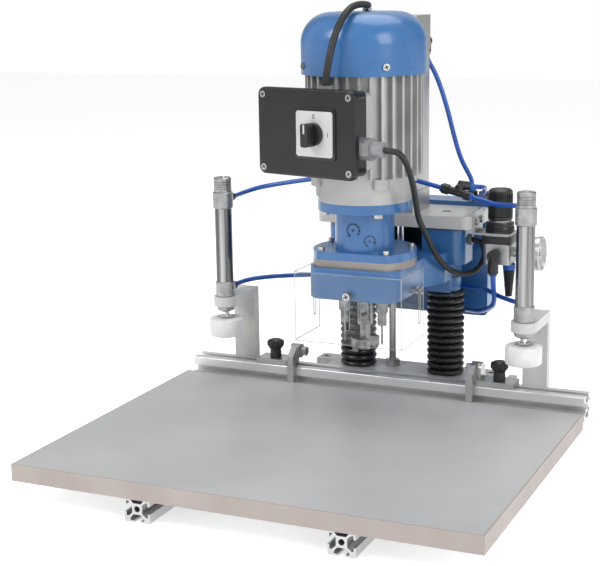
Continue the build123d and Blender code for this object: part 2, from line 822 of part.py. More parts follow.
def motor_fan_cover():
    outer_r = fan_cover_d / 2
    low = stator_top - fan_cover_lap
    outer = upright(outer_r, low, fan_cover_top, 0, spindle_y)
    outer = fillet(outer.faces().sort_by(Axis.Z)[-1].edges(), fan_cover_round)
    inner_r = outer_r - fan_cover_wall
    inner = upright(inner_r, low, fan_cover_top - fan_cover_wall, 0, spindle_y)
    inner = fillet(inner.faces().sort_by(Axis.Z)[-1].edges(), fan_cover_round - fan_cover_wall)
    cover = outer - inner
    for ring_r in (14.0, 23.0, 32.0):
        for index in range(8):
            angle = radians(45.0 * index)
            x = ring_r * cos(angle)
            y = spindle_y + ring_r * sin(angle)
            cover -= upright(2.6, fan_cover_top - 10.0, fan_cover_top + 1.0, x, y)
    for angle in fan_screw_angles:
        hole = along_x(2.0, inner_r - 2.0, outer_r + 2.0, 0, fan_screw_z)
        cover -= Pos(0, spindle_y, 0) * Rot(0, 0, angle) * hole
    return cover


# ---------------------------------------------------------------- switch box
def on_box(shape):
    """Place a shape drawn in the box's own frame: -Y outwards, origin on the motor's axis."""
    return Pos(0, spindle_y, box_mid_z) * Rot(0, 0, box_turn) * shape


def box_slab(width, height, near, far, corner):
    outline = RectangleRounded(width, height, corner)
    plane = Plane(origin=(0, -near, 0), x_dir=(1, 0, 0), z_dir=(0, -1, 0))
    return extrude(plane * outline, far - near)


def terminal_block():
    return on_box(box_slab(terminal_width, terminal_height, terminal_in, stator_d, 4.0))


def terminal_base():
    body = box_slab(terminal_width, terminal_height, terminal_in, terminal_out, 4.0)
    body -= box_slab(terminal_width - 8.0, terminal_height - 8.0, terminal_out - 8.0, terminal_out, 3.0)
    return on_box(body) - upright(rotor_r + rotor_gap, shield_top, stator_top, 0, spindle_y)


def switch_box():
    wall = 4.0
    box = box_slab(box_width, box_height, terminal_out, box_out, 6.0)
    box -= box_slab(box_width - 2 * wall, box_height - 2 * wall, terminal_out + wall, box_out, 4.0)
    for across in (-1, 1):
        for up in (-1, 1):
            place = lid_screw_place(across, up)
            box += along_y(4.5, -box_out, -terminal_out - wall, *place)
            box -= along_y(1.8, -box_out, -terminal_out - wall, *place)
    side_face = box_width / 2
    top_face = box_height / 2
    box -= along_x(gland_thread_d / 2, side_face - wall, side_face, -gland_out, gland_z - box_mid_z)
    box -= upright(gland_thread_d / 2, top_face - wall, top_face, top_gland_x, -gland_out)
    return on_box(box)


def lid_screw_place(across, up):
    return across * (lid_width / 2 - lid_screw_inset), up * (lid_height / 2 - lid_screw_inset)


def switch_lid():
    lid = box_slab(lid_width, lid_height, box_out, lid_out, 9.0)
    front = lid.faces().sort_by(Axis.Y)[0]
    lid = fillet(front.edges(), 2.5)
    for across in (-1, 1):
        for up in (-1, 1):
            lid -= along_y(1.8, -lid_out, -box_out, *lid_screw_place(across, up))
            lid -= along_y(4.2, -lid_out, -lid_out + 2.0, *lid_screw_place(across, up))
    lid -= along_y(switch_stem_d / 2, -lid_out, -box_out, switch_offset, 0)
    far = lid_out + switch_plate_thick
    plate = Pos(switch_offset, 0, 0) * box_slab(switch_plate_size, switch_plate_size, lid_out, far, 2.0)
    plate -= along_y(switch_stem_d / 2, -far, -lid_out, switch_offset, 0)
    return [on_box(lid), on_box(plate)]


def lid_screw(across, up):
    place = lid_screw_place(across, up)
    head = along_y(3.9, -lid_out - 0.6, -lid_out + 2.0, *place)
    return on_box(head + along_y(1.8, -lid_out, -box_out + 6.0, *place))


def switch_knob():
    back = -lid_out - switch_plate_thick - loose_fit
    disc = along_y(13.0, back - 5.7, back, switch_offset, 0)
    bar = block(switch_offset - 5.0, switch_offset + 5.0, back - 17.7, back - 5.7, -13.0, 13.0)
    bar = fillet(bar.edges().filter_by(Axis.Y), 3.0)
    stem = along_y(switch_stem_d / 2 - running_fit, back - 0.7, -box_out + 4.0, switch_offset, 0)
    return on_box(disc + bar + stem)


def cable_glands():
    """Hexagonal gland on the box's side, gland on its top, and the rubber entry on the casting."""
    side_face = box_width / 2
    up = gland_z - box_mid_z
    flats = RegularPolygon(gland_flats / 2, 6, major_radius=False)
    hexa = Pos(side_face, -gland_out, up) * Rot(0, 90, 0) * extrude(flats, 18.0)
    tip = side_face + gland_length
    dome = along_x(9.0, side_face + 18.0, tip, -gland_out, up)
    dome = fillet(dome.faces().sort_by(Axis.X)[-1].edges(), 2.5)
    thread = along_x(gland_thread_d / 2, side_face - 4.0, side_face, -gland_out, up)
    gland = hexa + dome + thread
    gland -= along_x(control_cable_d / 2, side_face - 4.0, tip, -gland_out, up)
    half = box_height / 2
    top = upright(8.0, half, half + top_gland_length, top_gland_x, -gland_out)
    top += upright(gland_thread_d / 2, half - 4.0, half, top_gland_x, -gland_out)
    top -= upright(motor_cable_d / 2, half - 4.0, half + top_gland_length, top_gland_x, -gland_out)
    edge = carriage_width / 2
    entry = along_x(7.0, edge, edge + entry_length, entry_y, entry_z)
    entry += along_x(4.0, edge - 12.0, edge, entry_y, entry_z)
    return [on_box(gland), on_box(top), entry]


# ---------------------------------------------------------------- spindles and gears
def gear_module():
    spacing = (side_pitch_x ** 2 + side_pitch_y ** 2) ** 0.5
    return 2 * spacing / (centre_teeth + side_teeth)


def gear(teeth, phase):
    """A spur gear with straight-flanked teeth; phase turns it, in degrees."""
    module = gear_module()
    pitch_r = module * teeth / 2
    root_r = pitch_r - 1.25 * module
    tip_r = pitch_r + 0.9 * module
    base_half = 0.95 * module
    pitch_half = 0.70 * module
    tip_half = 0.32 * module
    tooth = [
        (root_r - 0.3, -base_half),
        (pitch_r, -pitch_half),
        (tip_r, -tip_half),
        (tip_r, tip_half),
        (pitch_r, pitch_half),
        (root_r - 0.3, base_half),
    ]
    outline = Circle(root_r)
    face = make_face(Polyline(*tooth, close=True))
    for index in range(teeth):
        outline += Rot(0, 0, phase + 360.0 * index / teeth) * face
    return extrude(outline, gear_thick)


def mesh_angle(side):
    """Direction from the centre spindle to a side spindle, in degrees."""
    return degrees(atan2(-side_pitch_y, side * side_pitch_x))


def side_gear_phase(side):
    """A gap of the side gear faces the centre gear's tooth that lies nearest the line of centres."""
    angle = mesh_angle(side)
    centre_step = 360.0 / centre_teeth
    offset = angle - round(angle / centre_step) * centre_step
    back = angle + 180.0 + offset * centre_teeth / side_teeth
    return back + 180.0 / side_teeth


def centre_spindle():
    """Driven shaft with its gear and the chuck that holds the cutter's shank."""
    shaft = upright(spindle_d / 2, casting_z - 4.0, spindle_top, 0, spindle_y)
    wheel = Pos(0, spindle_y, gear_z) * gear(centre_teeth, 0.0)
    chuck = upright(chuck_d / 2, chuck_z, casting_z - 0.5, 0, spindle_y)
    chuck -= upright(shank_d / 2 - 1.0, chuck_z, chuck_z + 24.0, 0, spindle_y)
    chuck -= along_y(2.5, spindle_y - chuck_d, spindle_y - 3.0, 0, chuck_z + 13.0)
    return shaft + wheel + chuck


def spindle_bearings():
    """Ball and needle bearings in the casting's floor and the adapter, as plain rings."""
    rings = []
    low = casting_z + 3.0
    for z in (low, spacer_top + 3.0):
        ring = upright(bearing_d / 2, z, z + bearing_width, 0, spindle_y)
        rings.append(ring - upright(spindle_d / 2 + running_fit, z, z + bearing_width, 0, spindle_y))
    for side in (-1, 1):
        x = side * side_pitch_x
        for z, height in ((low, bearing_width), (spacer_top, side_bearing_width)):
            ring = upright(side_bearing_d / 2, z, z + height, x, side_y)
            rings.append(ring - upright(side_spindle_d / 2 + running_fit, z, z + height, x, side_y))
    low = shield_top - bearing_width
    ring = upright(bearing_d / 2, low, shield_top, 0, spindle_y)
    rings.append(ring - upright(motor_shaft_d / 2 + running_fit, low, shield_top, 0, spindle_y))
    return rings


def hinge_cutter():
    """Two-winged cup cutter: shank, wings, spurs on the rim and a centre point."""
    shank = upright(shank_d / 2 - 1.0, shank_z, chuck_z + 23.5, 0, spindle_y)
    collar = upright(shank_d / 2, shank_z, chuck_z - 0.3, 0, spindle_y)
    disc = upright(cutter_d / 2, cutter_z + 4.0, shank_z, 0, spindle_y)
    for angle in (35.0, 215.0):
        gap = block(1.5, cutter_d, -cutter_d, -0.5, cutter_z + 3.0, shank_z)
        disc -= Pos(0, spindle_y, 0) * Rot(0, 0, angle) * gap
    cutter = shank + collar + disc
    point = Pos(0, spindle_y, cutter_z + 2.0) * Cone(0.4, 3.0, 4.0)
    cutter += point
    for angle in (60.0, 240.0):
        spur = block(cutter_d / 2 - 3.0, cutter_d / 2 - 0.5, -4.0, 4.0, cutter_z, cutter_z + 5.0)
        cutter += Pos(0, spindle_y, 0) * Rot(0, 0, angle) * spur
    return cutter


def side_spindle(side):
    """Pinion shaft with its bit holder, and the small drill bit in it."""
    x = side * side_pitch_x
    shaft = upright(side_spindle_d / 2, casting_z - 4.0, spacer_top + side_bearing_width - 0.5, x, side_y)
    wheel = Pos(x, side_y, gear_z) * gear(side_teeth, side_gear_phase(side))
    holder = upright(side_chuck_d / 2, side_chuck_z + 16.0, casting_z - 0.5, x, side_y)
    holder += upright(side_chuck_d / 2 - 2.0, side_chuck_z, side_chuck_z + 16.0, x, side_y)
    holder -= upright(bit_d / 2, side_chuck_z, side_chuck_z + 20.0, x, side_y)
    bit = upright(bit_d / 2, bit_z + 2.0, side_chuck_z + 19.5, x, side_y)
    bit += Pos(x, side_y, bit_z + 1.0) * Cone(0.1, bit_d / 2, 2.0)
    return [shaft + wheel + holder, bit]


# ---------------------------------------------------------------- guard
def guard_screw_places():
    """x, y of each screw where it meets the casting, and the way it faces, in degrees."""
    place = guard_back - guard_screw_back
    half = gearbox_width / 2
    return [(0.0, casting_front, 180.0), (half, place, -90.0), (-half, place, 90.0)]


def guard_reach(angle):
    """From the casting's face to the guard's outer face."""
    if angle == 180.0:
        return guard_front_space
    return guard_space


def along_screw(radius, near, far):
    """A cylinder along the screw's own +Y, which points out of the casting."""
    return along_y(radius, near, far)


def place_screw(shape, x, y, angle):
    return Pos(x, y, guard_screw_z) * Rot(0, 0, angle) * shape


def guard_screw(x, y, angle):
    reach = guard_reach(angle)
    shaft = along_screw(guard_screw_d / 2, -8.0, reach + loose_fit)
    spacer = along_screw(4.5, 0.0, reach - guard_wall - loose_fit)
    head = along_screw(4.6, reach + loose_fit, reach + loose_fit + 2.8)
    return place_screw(shaft + spacer + head, x, y, angle)


def guard_screw_hole(x, y, angle):
    return place_screw(along_screw(guard_screw_d / 2, -8.0, 0.0), x, y, angle)


def drill_guard():
    """U-shaped clear screen with a slot for each screw, open at the back."""
    half = guard_half_width
    outer = block(-half, half, guard_front, guard_back, guard_z, guard_top)
    front = guard_front + 1.0
    outer = fillet([edge for edge in outer.edges().filter_by(Axis.Z) if edge.center().Y < front], 4.0)
    inner = block(
        guard_wall - half, half - guard_wall, guard_front + guard_wall, guard_back + 1.0, guard_z, guard_top
    )
    guard = outer - inner
    for x, y, angle in guard_screw_places():
        reach = guard_reach(angle)
        slot = block(-guard_slot_d / 2, guard_slot_d / 2, -1.0, 1.0, -guard_slot_low, 0.0)
        slot += along_y(guard_slot_d / 2, -1.0, 1.0, 0, -guard_slot_low)
        slot += along_y(guard_slot_d / 2, -1.0, 1.0, 0, 0)
        slot = Pos(0, reach - guard_wall / 2, 0) * scale(slot, by=(1, guard_wall, 1))
        guard -= place_screw(slot, x, y, angle)
    return guard


# ---------------------------------------------------------------- feed cylinder
def feed_cylinder():
    half = feed_size / 2
    low = top_plate_top
    barrel_z = low + feed_cap_low
    barrel_top = feed_top - feed_cap_high
    side = half - 1.0
    barrel = block(-side, side, column_y - side, column_y + side, barrel_z, barrel_top)
    barrel = upright_edges(barrel, 4.0)
    barrel -= upright(feed_bore / 2, barrel_z, barrel_top, 0, column_y)
    for x in (-half + 8.0, half - 8.0):
        barrel -= block(x - 2.0, x + 2.0, column_y - half, column_y - half + 4.0, barrel_z, barrel_top)
        barrel -= block(x - 2.0, x + 2.0, column_y + half - 4.0, column_y + half, barrel_z, barrel_top)
    foot = block(-half, half, column_y - half, column_y + half, low, barrel_z)
    foot = upright_edges(foot, 5.0)
    foot -= upright(feed_rod_d / 2 + running_fit, low, barrel_z, 0, column_y)
    crown = block(-half, half, column_y - half, column_y + half, barrel_top, feed_top)
    crown = upright_edges(crown, 5.0)
    crown -= along_y(5.0, column_y + half - 8.0, column_y + half, feed_port_x, feed_port_z)
    return [barrel, foot, crown]


def feed_piston():
    rod = upright(feed_rod_d / 2, casting_top - feed_rod_grip, feed_piston_z, 0, column_y)
    piston = upright(feed_bore / 2 - running_fit, feed_piston_z, feed_piston_z + 16.0, 0, column_y)
    return rod + piston


# ---------------------------------------------------------------- rear housing
def rear_housing():
    """Sheet box for the valves, behind the top plate; its front hangs below the plate."""
    half = housing_width / 2
    y0 = top_plate_back
    y1 = y0 + housing_depth
    shell = block(-half, half, y0, y1, housing_z, housing_top)
    shell = fillet(shell.edges().filter_by(Axis.Y), 6.0)
    shell -= block(
        housing_wall - half,
        half - housing_wall,
        y0 + housing_wall,
        y1 - housing_wall,
        housing_z + housing_wall,
        housing_top - housing_wall,
    )
    for x, y, diameter in top_entry_places():
        shell -= upright(diameter / 2, housing_top - housing_wall, housing_top, x, y)
    return shell


def top_entry_places():
    """Two hose fittings and the motor cable's gland on the housing's top."""
    return [
        (feed_entry_x, housing_middle, hose_d + 2.0),
        (supply_entry_x, housing_middle, hose_d + 2.0),
        (cable_entry_x, housing_middle, motor_cable_d + 2.0),
    ]


# ---------------------------------------------------------------- regulator and gauge
def regulator_body():
    half = regulator_size / 2
    x0 = regulator_x - half
    x1 = regulator_x + half
    y0 = regulator_y - half
    y1 = regulator_y + half
    body = block(x0, x1, y0, y1, regulator_z, regulator_top)
    body = upright_edges(body, 5.0)
    neck_top = regulator_knob_z - loose_fit
    body += upright(regulator_neck_d / 2, regulator_top, neck_top, regulator_x, regulator_y)
    collar = block(x0 - 1.0, x1 + 1.0, y0 - 1.0, y1 + 1.0, regulator_top, regulator_plate_z)
    collar = upright_edges(collar, 5.0)
    collar -= upright(regulator_neck_d / 2, regulator_top, regulator_plate_z, regulator_x, regulator_y)
    plate_x = top_plate_width / 2
    ring_z = regulator_plate_z + regulator_sheet
    face = plate_x + regulator_sheet
    plate = block(plate_x, x1, y0, y1, regulator_plate_z, ring_z)
    plate += block(plate_x, face, y0, y1, regulator_plate_z, top_plate_top + 6.0)
    plate -= upright(regulator_neck_d / 2, regulator_plate_z, ring_z, regulator_x, regulator_y)
    ring = upright(regulator_ring_d / 2, ring_z, ring_z + regulator_ring, regulator_x, regulator_y)
    ring -= upright(regulator_neck_d / 2, ring_z, ring_z + regulator_ring, regulator_x, regulator_y)
    screws = [along_x(4.5, face, face + 3.0, regulator_y + dy, top_plate_top - 7.0) for dy in (-11.0, 9.0)]
    return [body, collar, plate, ring, *screws]


def regulator_knob():
    knob = upright(regulator_knob_d / 2, regulator_knob_z, regulator_knob_top, regulator_x, regulator_y)
    knob = fillet(knob.faces().sort_by(Axis.Z)[-1].edges(), 2.0)
    for index in range(24):
        angle = radians(15.0 * index)
        x = regulator_x + regulator_knob_d / 2 * cos(angle)
        y = regulator_y + regulator_knob_d / 2 * sin(angle)
        knob -= upright(0.9, regulator_knob_z + 3.0, regulator_knob_top - 6.0, x, y)
    return knob


def pressure_gauge():
    front = gauge_front
    case = along_x(gauge_d / 2, gauge_back, front, regulator_y, gauge_z)
    case = fillet(case.faces().sort_by(Axis.X)[0].edges(), 4.0)
    case -= along_x(gauge_lens_d / 2, front - 7.0, front, regulator_y, gauge_z)
    stem_start = regulator_x + regulator_size / 2
    case += along_x(6.0, stem_start, gauge_back, regulator_y, gauge_z)
    lens = along_x(gauge_lens_d / 2, front - 2.0, front, regulator_y, gauge_z)
    return [case, lens]


def gauge_needle():
    front = gauge_front
    hub = along_x(2.5, front - 7.0 + loose_fit, front - 3.0, regulator_y, gauge_z)
    low = gauge_z - 16.0
    pointer = block(front - 4.6, front - 4.0, regulator_y - 0.8, regulator_y + 0.8, low, gauge_z + 6.0)
    return hub + pointer


# ---------------------------------------------------------------- fittings
def y_point(x, y, z):
    """A point given in the Y connector's own frame, as a point of the machine."""
    turn = radians(y_connector_tilt)
    x0, y0, z0 = y_connector_place
    return (x0 + x * cos(turn) + z * sin(turn), y0 + y, z0 - x * sin(turn) + z * cos(turn))


def branch_point(along):
    """A point on the Y connector's upper branch, which points back and to the right."""
    turn = radians(branch_turn)
    return y_point(3.0 + along * cos(turn), 4.0 + along * sin(turn), 9.0)


def y_connector():
    body = along_x(5.0, -11.0, 11.0)
    body += Pos(-14.0, 0, 0) * along_x(6.5, -4.0, 4.0)
    body += Pos(14.0, 0, -1.0) * along_x(5.6, -4.0, 4.0)
    body += Pos(3.0, 4.0, 9.0) * Rot(0, 0, branch_turn) * along_x(5.6, -3.0, branch_length)
    body += Pos(2.0, 2.0, 4.5) * Sphere(6.0)
    return Pos(*y_connector_place) * Rot(0, y_connector_tilt, 0) * body


def air_fittings():
    pieces = [y_connector()]
    for x, y, diameter in top_entry_places():
        fitting = upright(diameter / 2, housing_top - housing_wall, housing_top, x, y)
        fitting += upright(diameter / 2 + 3.0, housing_top, housing_top + entry_rise, x, y)
        if x == supply_entry_x:
            fitting += along_y(5.5, y - elbow_reach, y, x, supply_entry_z)
        pieces.append(fitting)
    for x, z, way in low_elbows.values():
        elbow = along_y(6.0, top_plate_back - 18.0, top_plate_back, x, z)
        tip = x + way * elbow_reach
        elbow += along_x(5.5, min(x, tip), max(x, tip), top_plate_back - 12.0, z)
        pieces.append(elbow)
    face = regulator_y - regulator_size / 2
    elbow = along_y(7.0, face - 14.0, face, outlet_x, outlet_z)
    elbow += upright(6.5, outlet_z - outlet_drop, outlet_z, outlet_x, outlet_y)
    pieces.append(elbow)
    back = column_y + feed_size / 2
    port = along_y(6.5, back, feed_port_y + 3.0, feed_port_x, feed_port_z)
    port += along_y(5.0, back - 8.0, back, feed_port_x, feed_port_z)
    port += upright(5.5, feed_port_z - feed_port_drop, feed_port_z, feed_port_x, feed_port_y)
    pieces.append(port)
    x = regulator_x + inlet_shift
    collar = upright(7.5, regulator_z - 8.0, regulator_z, x, regulator_y)
    collar += Pos(x, regulator_y, regulator_z - 25.0) * Cone(3.6, 6.5, 34.0)
    pieces.append(collar)
    return pieces


# ---------------------------------------------------------------- clamps
def clamp_brackets():
    brackets = []
    for side in (-1, 1):
        x = side * clamp_x
        half = bracket_width / 2
        leg = block(x - half, x + half, fence_back, fence_back + bracket_thick, fence_z, bracket_top)
        arm_z = bracket_top - bracket_thick
        arm = block(x - half, x + half, clamp_y, fence_back + bracket_thick, arm_z, bracket_top)
        arm += upright(half, arm_z, bracket_top, x, clamp_y)
        bracket = leg + arm
        bracket -= upright(clamp_thread_d / 2, arm_z, bracket_top, x, clamp_y)
        brackets.append(bracket)
        for dy in (-7.0, 7.0):
            z = fence_z + profile_size / 2
            face = fence_back + bracket_thick
            head = along_y(bracket_bolt_d / 2, face, face + 5.0, x + dy, z)
            brackets.append(head)
    return brackets


def clamp_cylinder(side):
    """Tube, lower cap with its collar and nut through the bracket, and upper cap."""
    x = side * clamp_x
    outer_r = clamp_tube_d / 2
    inner_r = outer_r - clamp_tube_wall
    rod_hole = clamp_rod_d / 2 + running_fit
    tube = upright(outer_r, clamp_tube_z, clamp_tube_top, x, clamp_y)
    tube -= upright(inner_r, clamp_tube_z, clamp_tube_top, x, clamp_y)
    thread_r = clamp_thread_d / 2
    nut_top = bracket_top - bracket_thick
    thread_z = nut_top - clamp_thread_below
    lower = upright(clamp_cap_d / 2, bracket_top, clamp_tube_z, x, clamp_y)
    lower += upright(thread_r, thread_z, bracket_top, x, clamp_y)
    lower += along_y(clamp_port_d / 2, clamp_y, clamp_port_y, x, clamp_port_low)
    lower -= upright(rod_hole, thread_z, clamp_tube_z, x, clamp_y)
    nut = hexagon(21.0, nut_top - clamp_nut, nut_top, x, clamp_y)
    nut -= upright(thread_r, nut_top - clamp_nut, nut_top, x, clamp_y)
    upper = upright(clamp_cap_d / 2 + 0.5, clamp_tube_top, clamp_head_top, x, clamp_y)
    upper += upright(clamp_crown_d / 2, clamp_head_top, clamp_top, x, clamp_y)
    upper += along_y(clamp_port_d / 2, clamp_y, clamp_port_y, x, clamp_port_high)
    for index in range(4):
        z = clamp_head_top + 5.0 + 2.4 * index
        groove = upright(clamp_crown_d, z, z + 0.8, x, clamp_y)
        groove -= upright(clamp_crown_d / 2 - 0.6, z, z + 0.8, x, clamp_y)
        upper -= groove
    upper = chamfer(upper.faces().sort_by(Axis.Z)[-1].edges(), 1.2)
    return [tube, lower, nut, upper]


def clamp_rod(side):
    x = side * clamp_x
    inner_r = clamp_tube_d / 2 - clamp_tube_wall
    rod = upright(clamp_rod_d / 2, pad_top - pad_seat, clamp_piston_z, x, clamp_y)
    rod += upright(inner_r - running_fit, clamp_piston_z, clamp_piston_z + 10.0, x, clamp_y)
    nut = hexagon(13.0, pad_top - 1.5, pad_top - 1.5 + rod_nut, x, clamp_y)
    nut -= upright(clamp_rod_d / 2, pad_top - 1.5, pad_top - 1.5 + rod_nut, x, clamp_y)
    return [rod, nut]


def clamp_pad(side):
    x = side * clamp_x
    pad = upright(pad_d / 2, pad_z, pad_top, x, clamp_y)
    pad = fillet(pad.edges().filter_by(GeomType.CIRCLE), 2.5)
    pad -= upright(9.0, pad_top - 1.5, pad_top, x, clamp_y)
    return pad - upright(clamp_rod_d / 2, pad_top - pad_seat, pad_top, x, clamp_y)


# ---------------------------------------------------------------- flip stops
def stop_inward(name):
    """+1 where the flap lies on the stop's right, -1 where it lies on its left."""
    return -sides[name]


def stop_body(name):
    x = stop_places[name]
    way = stop_inward(name)
    half = stop_length / 2
    base = block(x - half, x + half, fence_front + 1.0, fence_back - 1.0, fence_top, fence_top + stop_thick)
    lug_out = x + way * (stop_flap_offset - stop_flap_thick / 2 - loose_fit)
    lug_in = lug_out - way * stop_lug_thick
    low = min(lug_in, lug_out)
    high = max(lug_in, lug_out)
    link_x = (min(x, lug_out), max(x, lug_out))
    link = block(*link_x, fence_front + 3.0, fence_back - 1.0, fence_top, fence_top + stop_thick)
    lug = block(low, high, stop_pivot_y - 10.0, fence_back - 1.0, fence_top, stop_pivot_z)
    lug += along_x(stop_hub_d / 2, low, high, stop_pivot_y, stop_pivot_z)
    body = base + link + lug
    body -= upright(4.0, fence_top, fence_top + stop_thick, x, stop_middle_y)
    pin_far = x + way * (stop_flap_offset + stop_flap_thick / 2 + loose_fit)
    pin = along_x(stop_pin_d / 2, min(lug_out, pin_far), max(lug_out, pin_far), stop_pivot_y, stop_pivot_z)
    head_far = pin_far + way * 7.0
    turn = Pos(min(pin_far, head_far), stop_pivot_y, stop_pivot_z) * Rot(0, 90, 0)
    head = turn * extrude(RegularPolygon(5.5, 6, major_radius=False), 7.0)
    body += pin + head
    slot_roof = fence_top - slot_lip
    nut = block(x - 9.0, x + 9.0, stop_middle_y - 6.5, stop_middle_y + 6.5, slot_roof - 4.0, slot_roof - 0.2)
    nut -= upright(stop_screw_d / 2, slot_roof - 4.0, slot_roof, x, stop_middle_y)
    return [body, nut]


def stop_knob(name):
    x = stop_places[name]
    low = fence_top + stop_thick + loose_fit
    knob = upright(7.5, low, low + 14.0, x, stop_middle_y)
    head = upright(stop_knob_d / 2, low + 13.0, low + 23.0, x, stop_middle_y)
    head = fillet(head.edges().filter_by(GeomType.CIRCLE), 2.5)
    knob += head
    return knob + upright(stop_screw_d / 2 - running_fit, fence_top - slot_lip - 3.5, low, x, stop_middle_y)


def stop_flap(name):
    """Curved finger: hub on the pivot, an arm forward over the fence, and a tip down to the table."""
    x = stop_places[name] + stop_inward(name) * stop_flap_offset
    tip_z = table_top + loose_fit
    front = fence_front - 1.0
    arm = 8.0
    outline = Polyline(
        (stop_pivot_y + 4.0, stop_pivot_z + arm),
        (front + 4.0, stop_pivot_z + arm),
        (front - arm, stop_pivot_z - 2.0),
        (front - arm, tip_z),
        (front, tip_z),
        (front, stop_pivot_z - 12.0),
        (front + 9.0, stop_pivot_z - 6.0),
        (stop_pivot_y, stop_pivot_z - arm),
        close=True,
    )
    plane = Plane(origin=(x - stop_flap_thick / 2, 0, 0), x_dir=(0, 1, 0), z_dir=(1, 0, 0))
    flap = extrude(plane * make_face(outline), stop_flap_thick)
    half = stop_flap_thick / 2
    flap += along_x(stop_hub_d / 2, x - half, x + half, stop_pivot_y, stop_pivot_z)
    return flap - along_x(stop_pin_d / 2 + running_fit, x - half, x + half, stop_pivot_y, stop_pivot_z)


# ---------------------------------------------------------------- hoses and cables
def corner_radii(points):
    """Each corner's arc takes 0.45 of its shorter run, as large as the turn lets it."""
    radii = []
    for before, here, after in zip(points, points[1:], points[2:]):
        first = Vector(*here) - Vector(*before)
        second = Vector(*after) - Vector(*here)
        half_turn = radians(first.get_angle(second)) / 2
        radii.append(0.45 * min(first.length, second.length) / tan(half_turn))
    return radii


def cord(name, diameter, points):
    """A round tube along straight runs joined by tangent arcs."""
    radii = corner_radii(points)
    path = FilletPolyline(*points, radius=radii)
    start = Vector(*points[0])
    section = Plane(origin=start, z_dir=Vector(*points[1]) - start) * Circle(diameter / 2)
    tube = sweep(section, path=path)
    share = tube.volume / (path.length * pi * diameter ** 2 / 4)
    tightest = min(radii) / diameter
    print(f"{name}: {path.length:.0f} mm, tightest {tightest:.1f} diameters, volume share {share:.4f}")
    return tube


def box_point(x, out, z):
    """A point given in the switch box's frame, as a point of the machine."""
    turn = radians(box_turn)
    return (x * cos(turn) + out * sin(turn), spindle_y + x * sin(turn) - out * cos(turn), z)


def elbow_run(name):
    """The last straight run of a hose into one of the housing's low elbows."""
    x, z, way = low_elbows[name]
    y = top_plate_back - 12.0
    tip = x + way * elbow_reach
    return [(tip + way * 12.0, y, z), (tip, y, z)]


control_cable_route = [
    box_point(box_width / 2 + gland_length, gland_out, gland_z),
    box_point(box_width / 2 + gland_length + 10.0, gland_out, gland_z),
    (84.8, -36.0, 364.1),
    (86.3, -18.0, 350.5),
    (82.8, 10.0, 326.6),
    (75.8, 40.0, 301.4),
    (69.6, 68.0, 273.3),
    (69.6, 97.0, 249.8),
    (72.0, 122.0, 223.0),
    (77.0, 145.0, 202.8),
    (87.3, 165.0, 190.8),
    (98.1, 180.0, 189.2),
    (106.6, 190.0, 194.8),
    (110.5, 199.0, 206.0),
    (110.0, 202.0, 217.0),
    (104.0, entry_y, entry_z),
    (carriage_width / 2 + entry_length, entry_y, entry_z),
]
motor_cable_route = [
    box_point(top_gland_x, gland_out, box_mid_z + box_height / 2 + top_gland_length),
    box_point(top_gland_x, gland_out, box_mid_z + box_height / 2 + top_gland_length + 12.0),
    (-4.5, -20.0, 462.7),
    (-2.0, -14.0, 484.2),
    (2.8, -2.0, 505.6),
    (5.5, 18.0, 518.5),
    (3.2, 48.0, 521.5),
    (-0.9, 80.0, 521.0),
    (-5.0, 102.0, 519.5),
    (-13.0, 120.0, 517.0),
    (-23.0, 134.0, 510.0),
    (-33.0, 145.0, 496.0),
    (-40.0, 151.0, 472.0),
    (-43.0, 155.0, 440.0),
    (-43.0, 160.0, 408.0),
    (-43.0, 173.0, 374.0),
    (-42.0, 197.0, 341.0),
    (-41.0, 226.0, 318.0),
    (-40.0, 252.0, 308.0),
    (cable_entry_x, housing_middle, housing_top + entry_rise + 12.0),
    (cable_entry_x, housing_middle, housing_top + entry_rise),
]
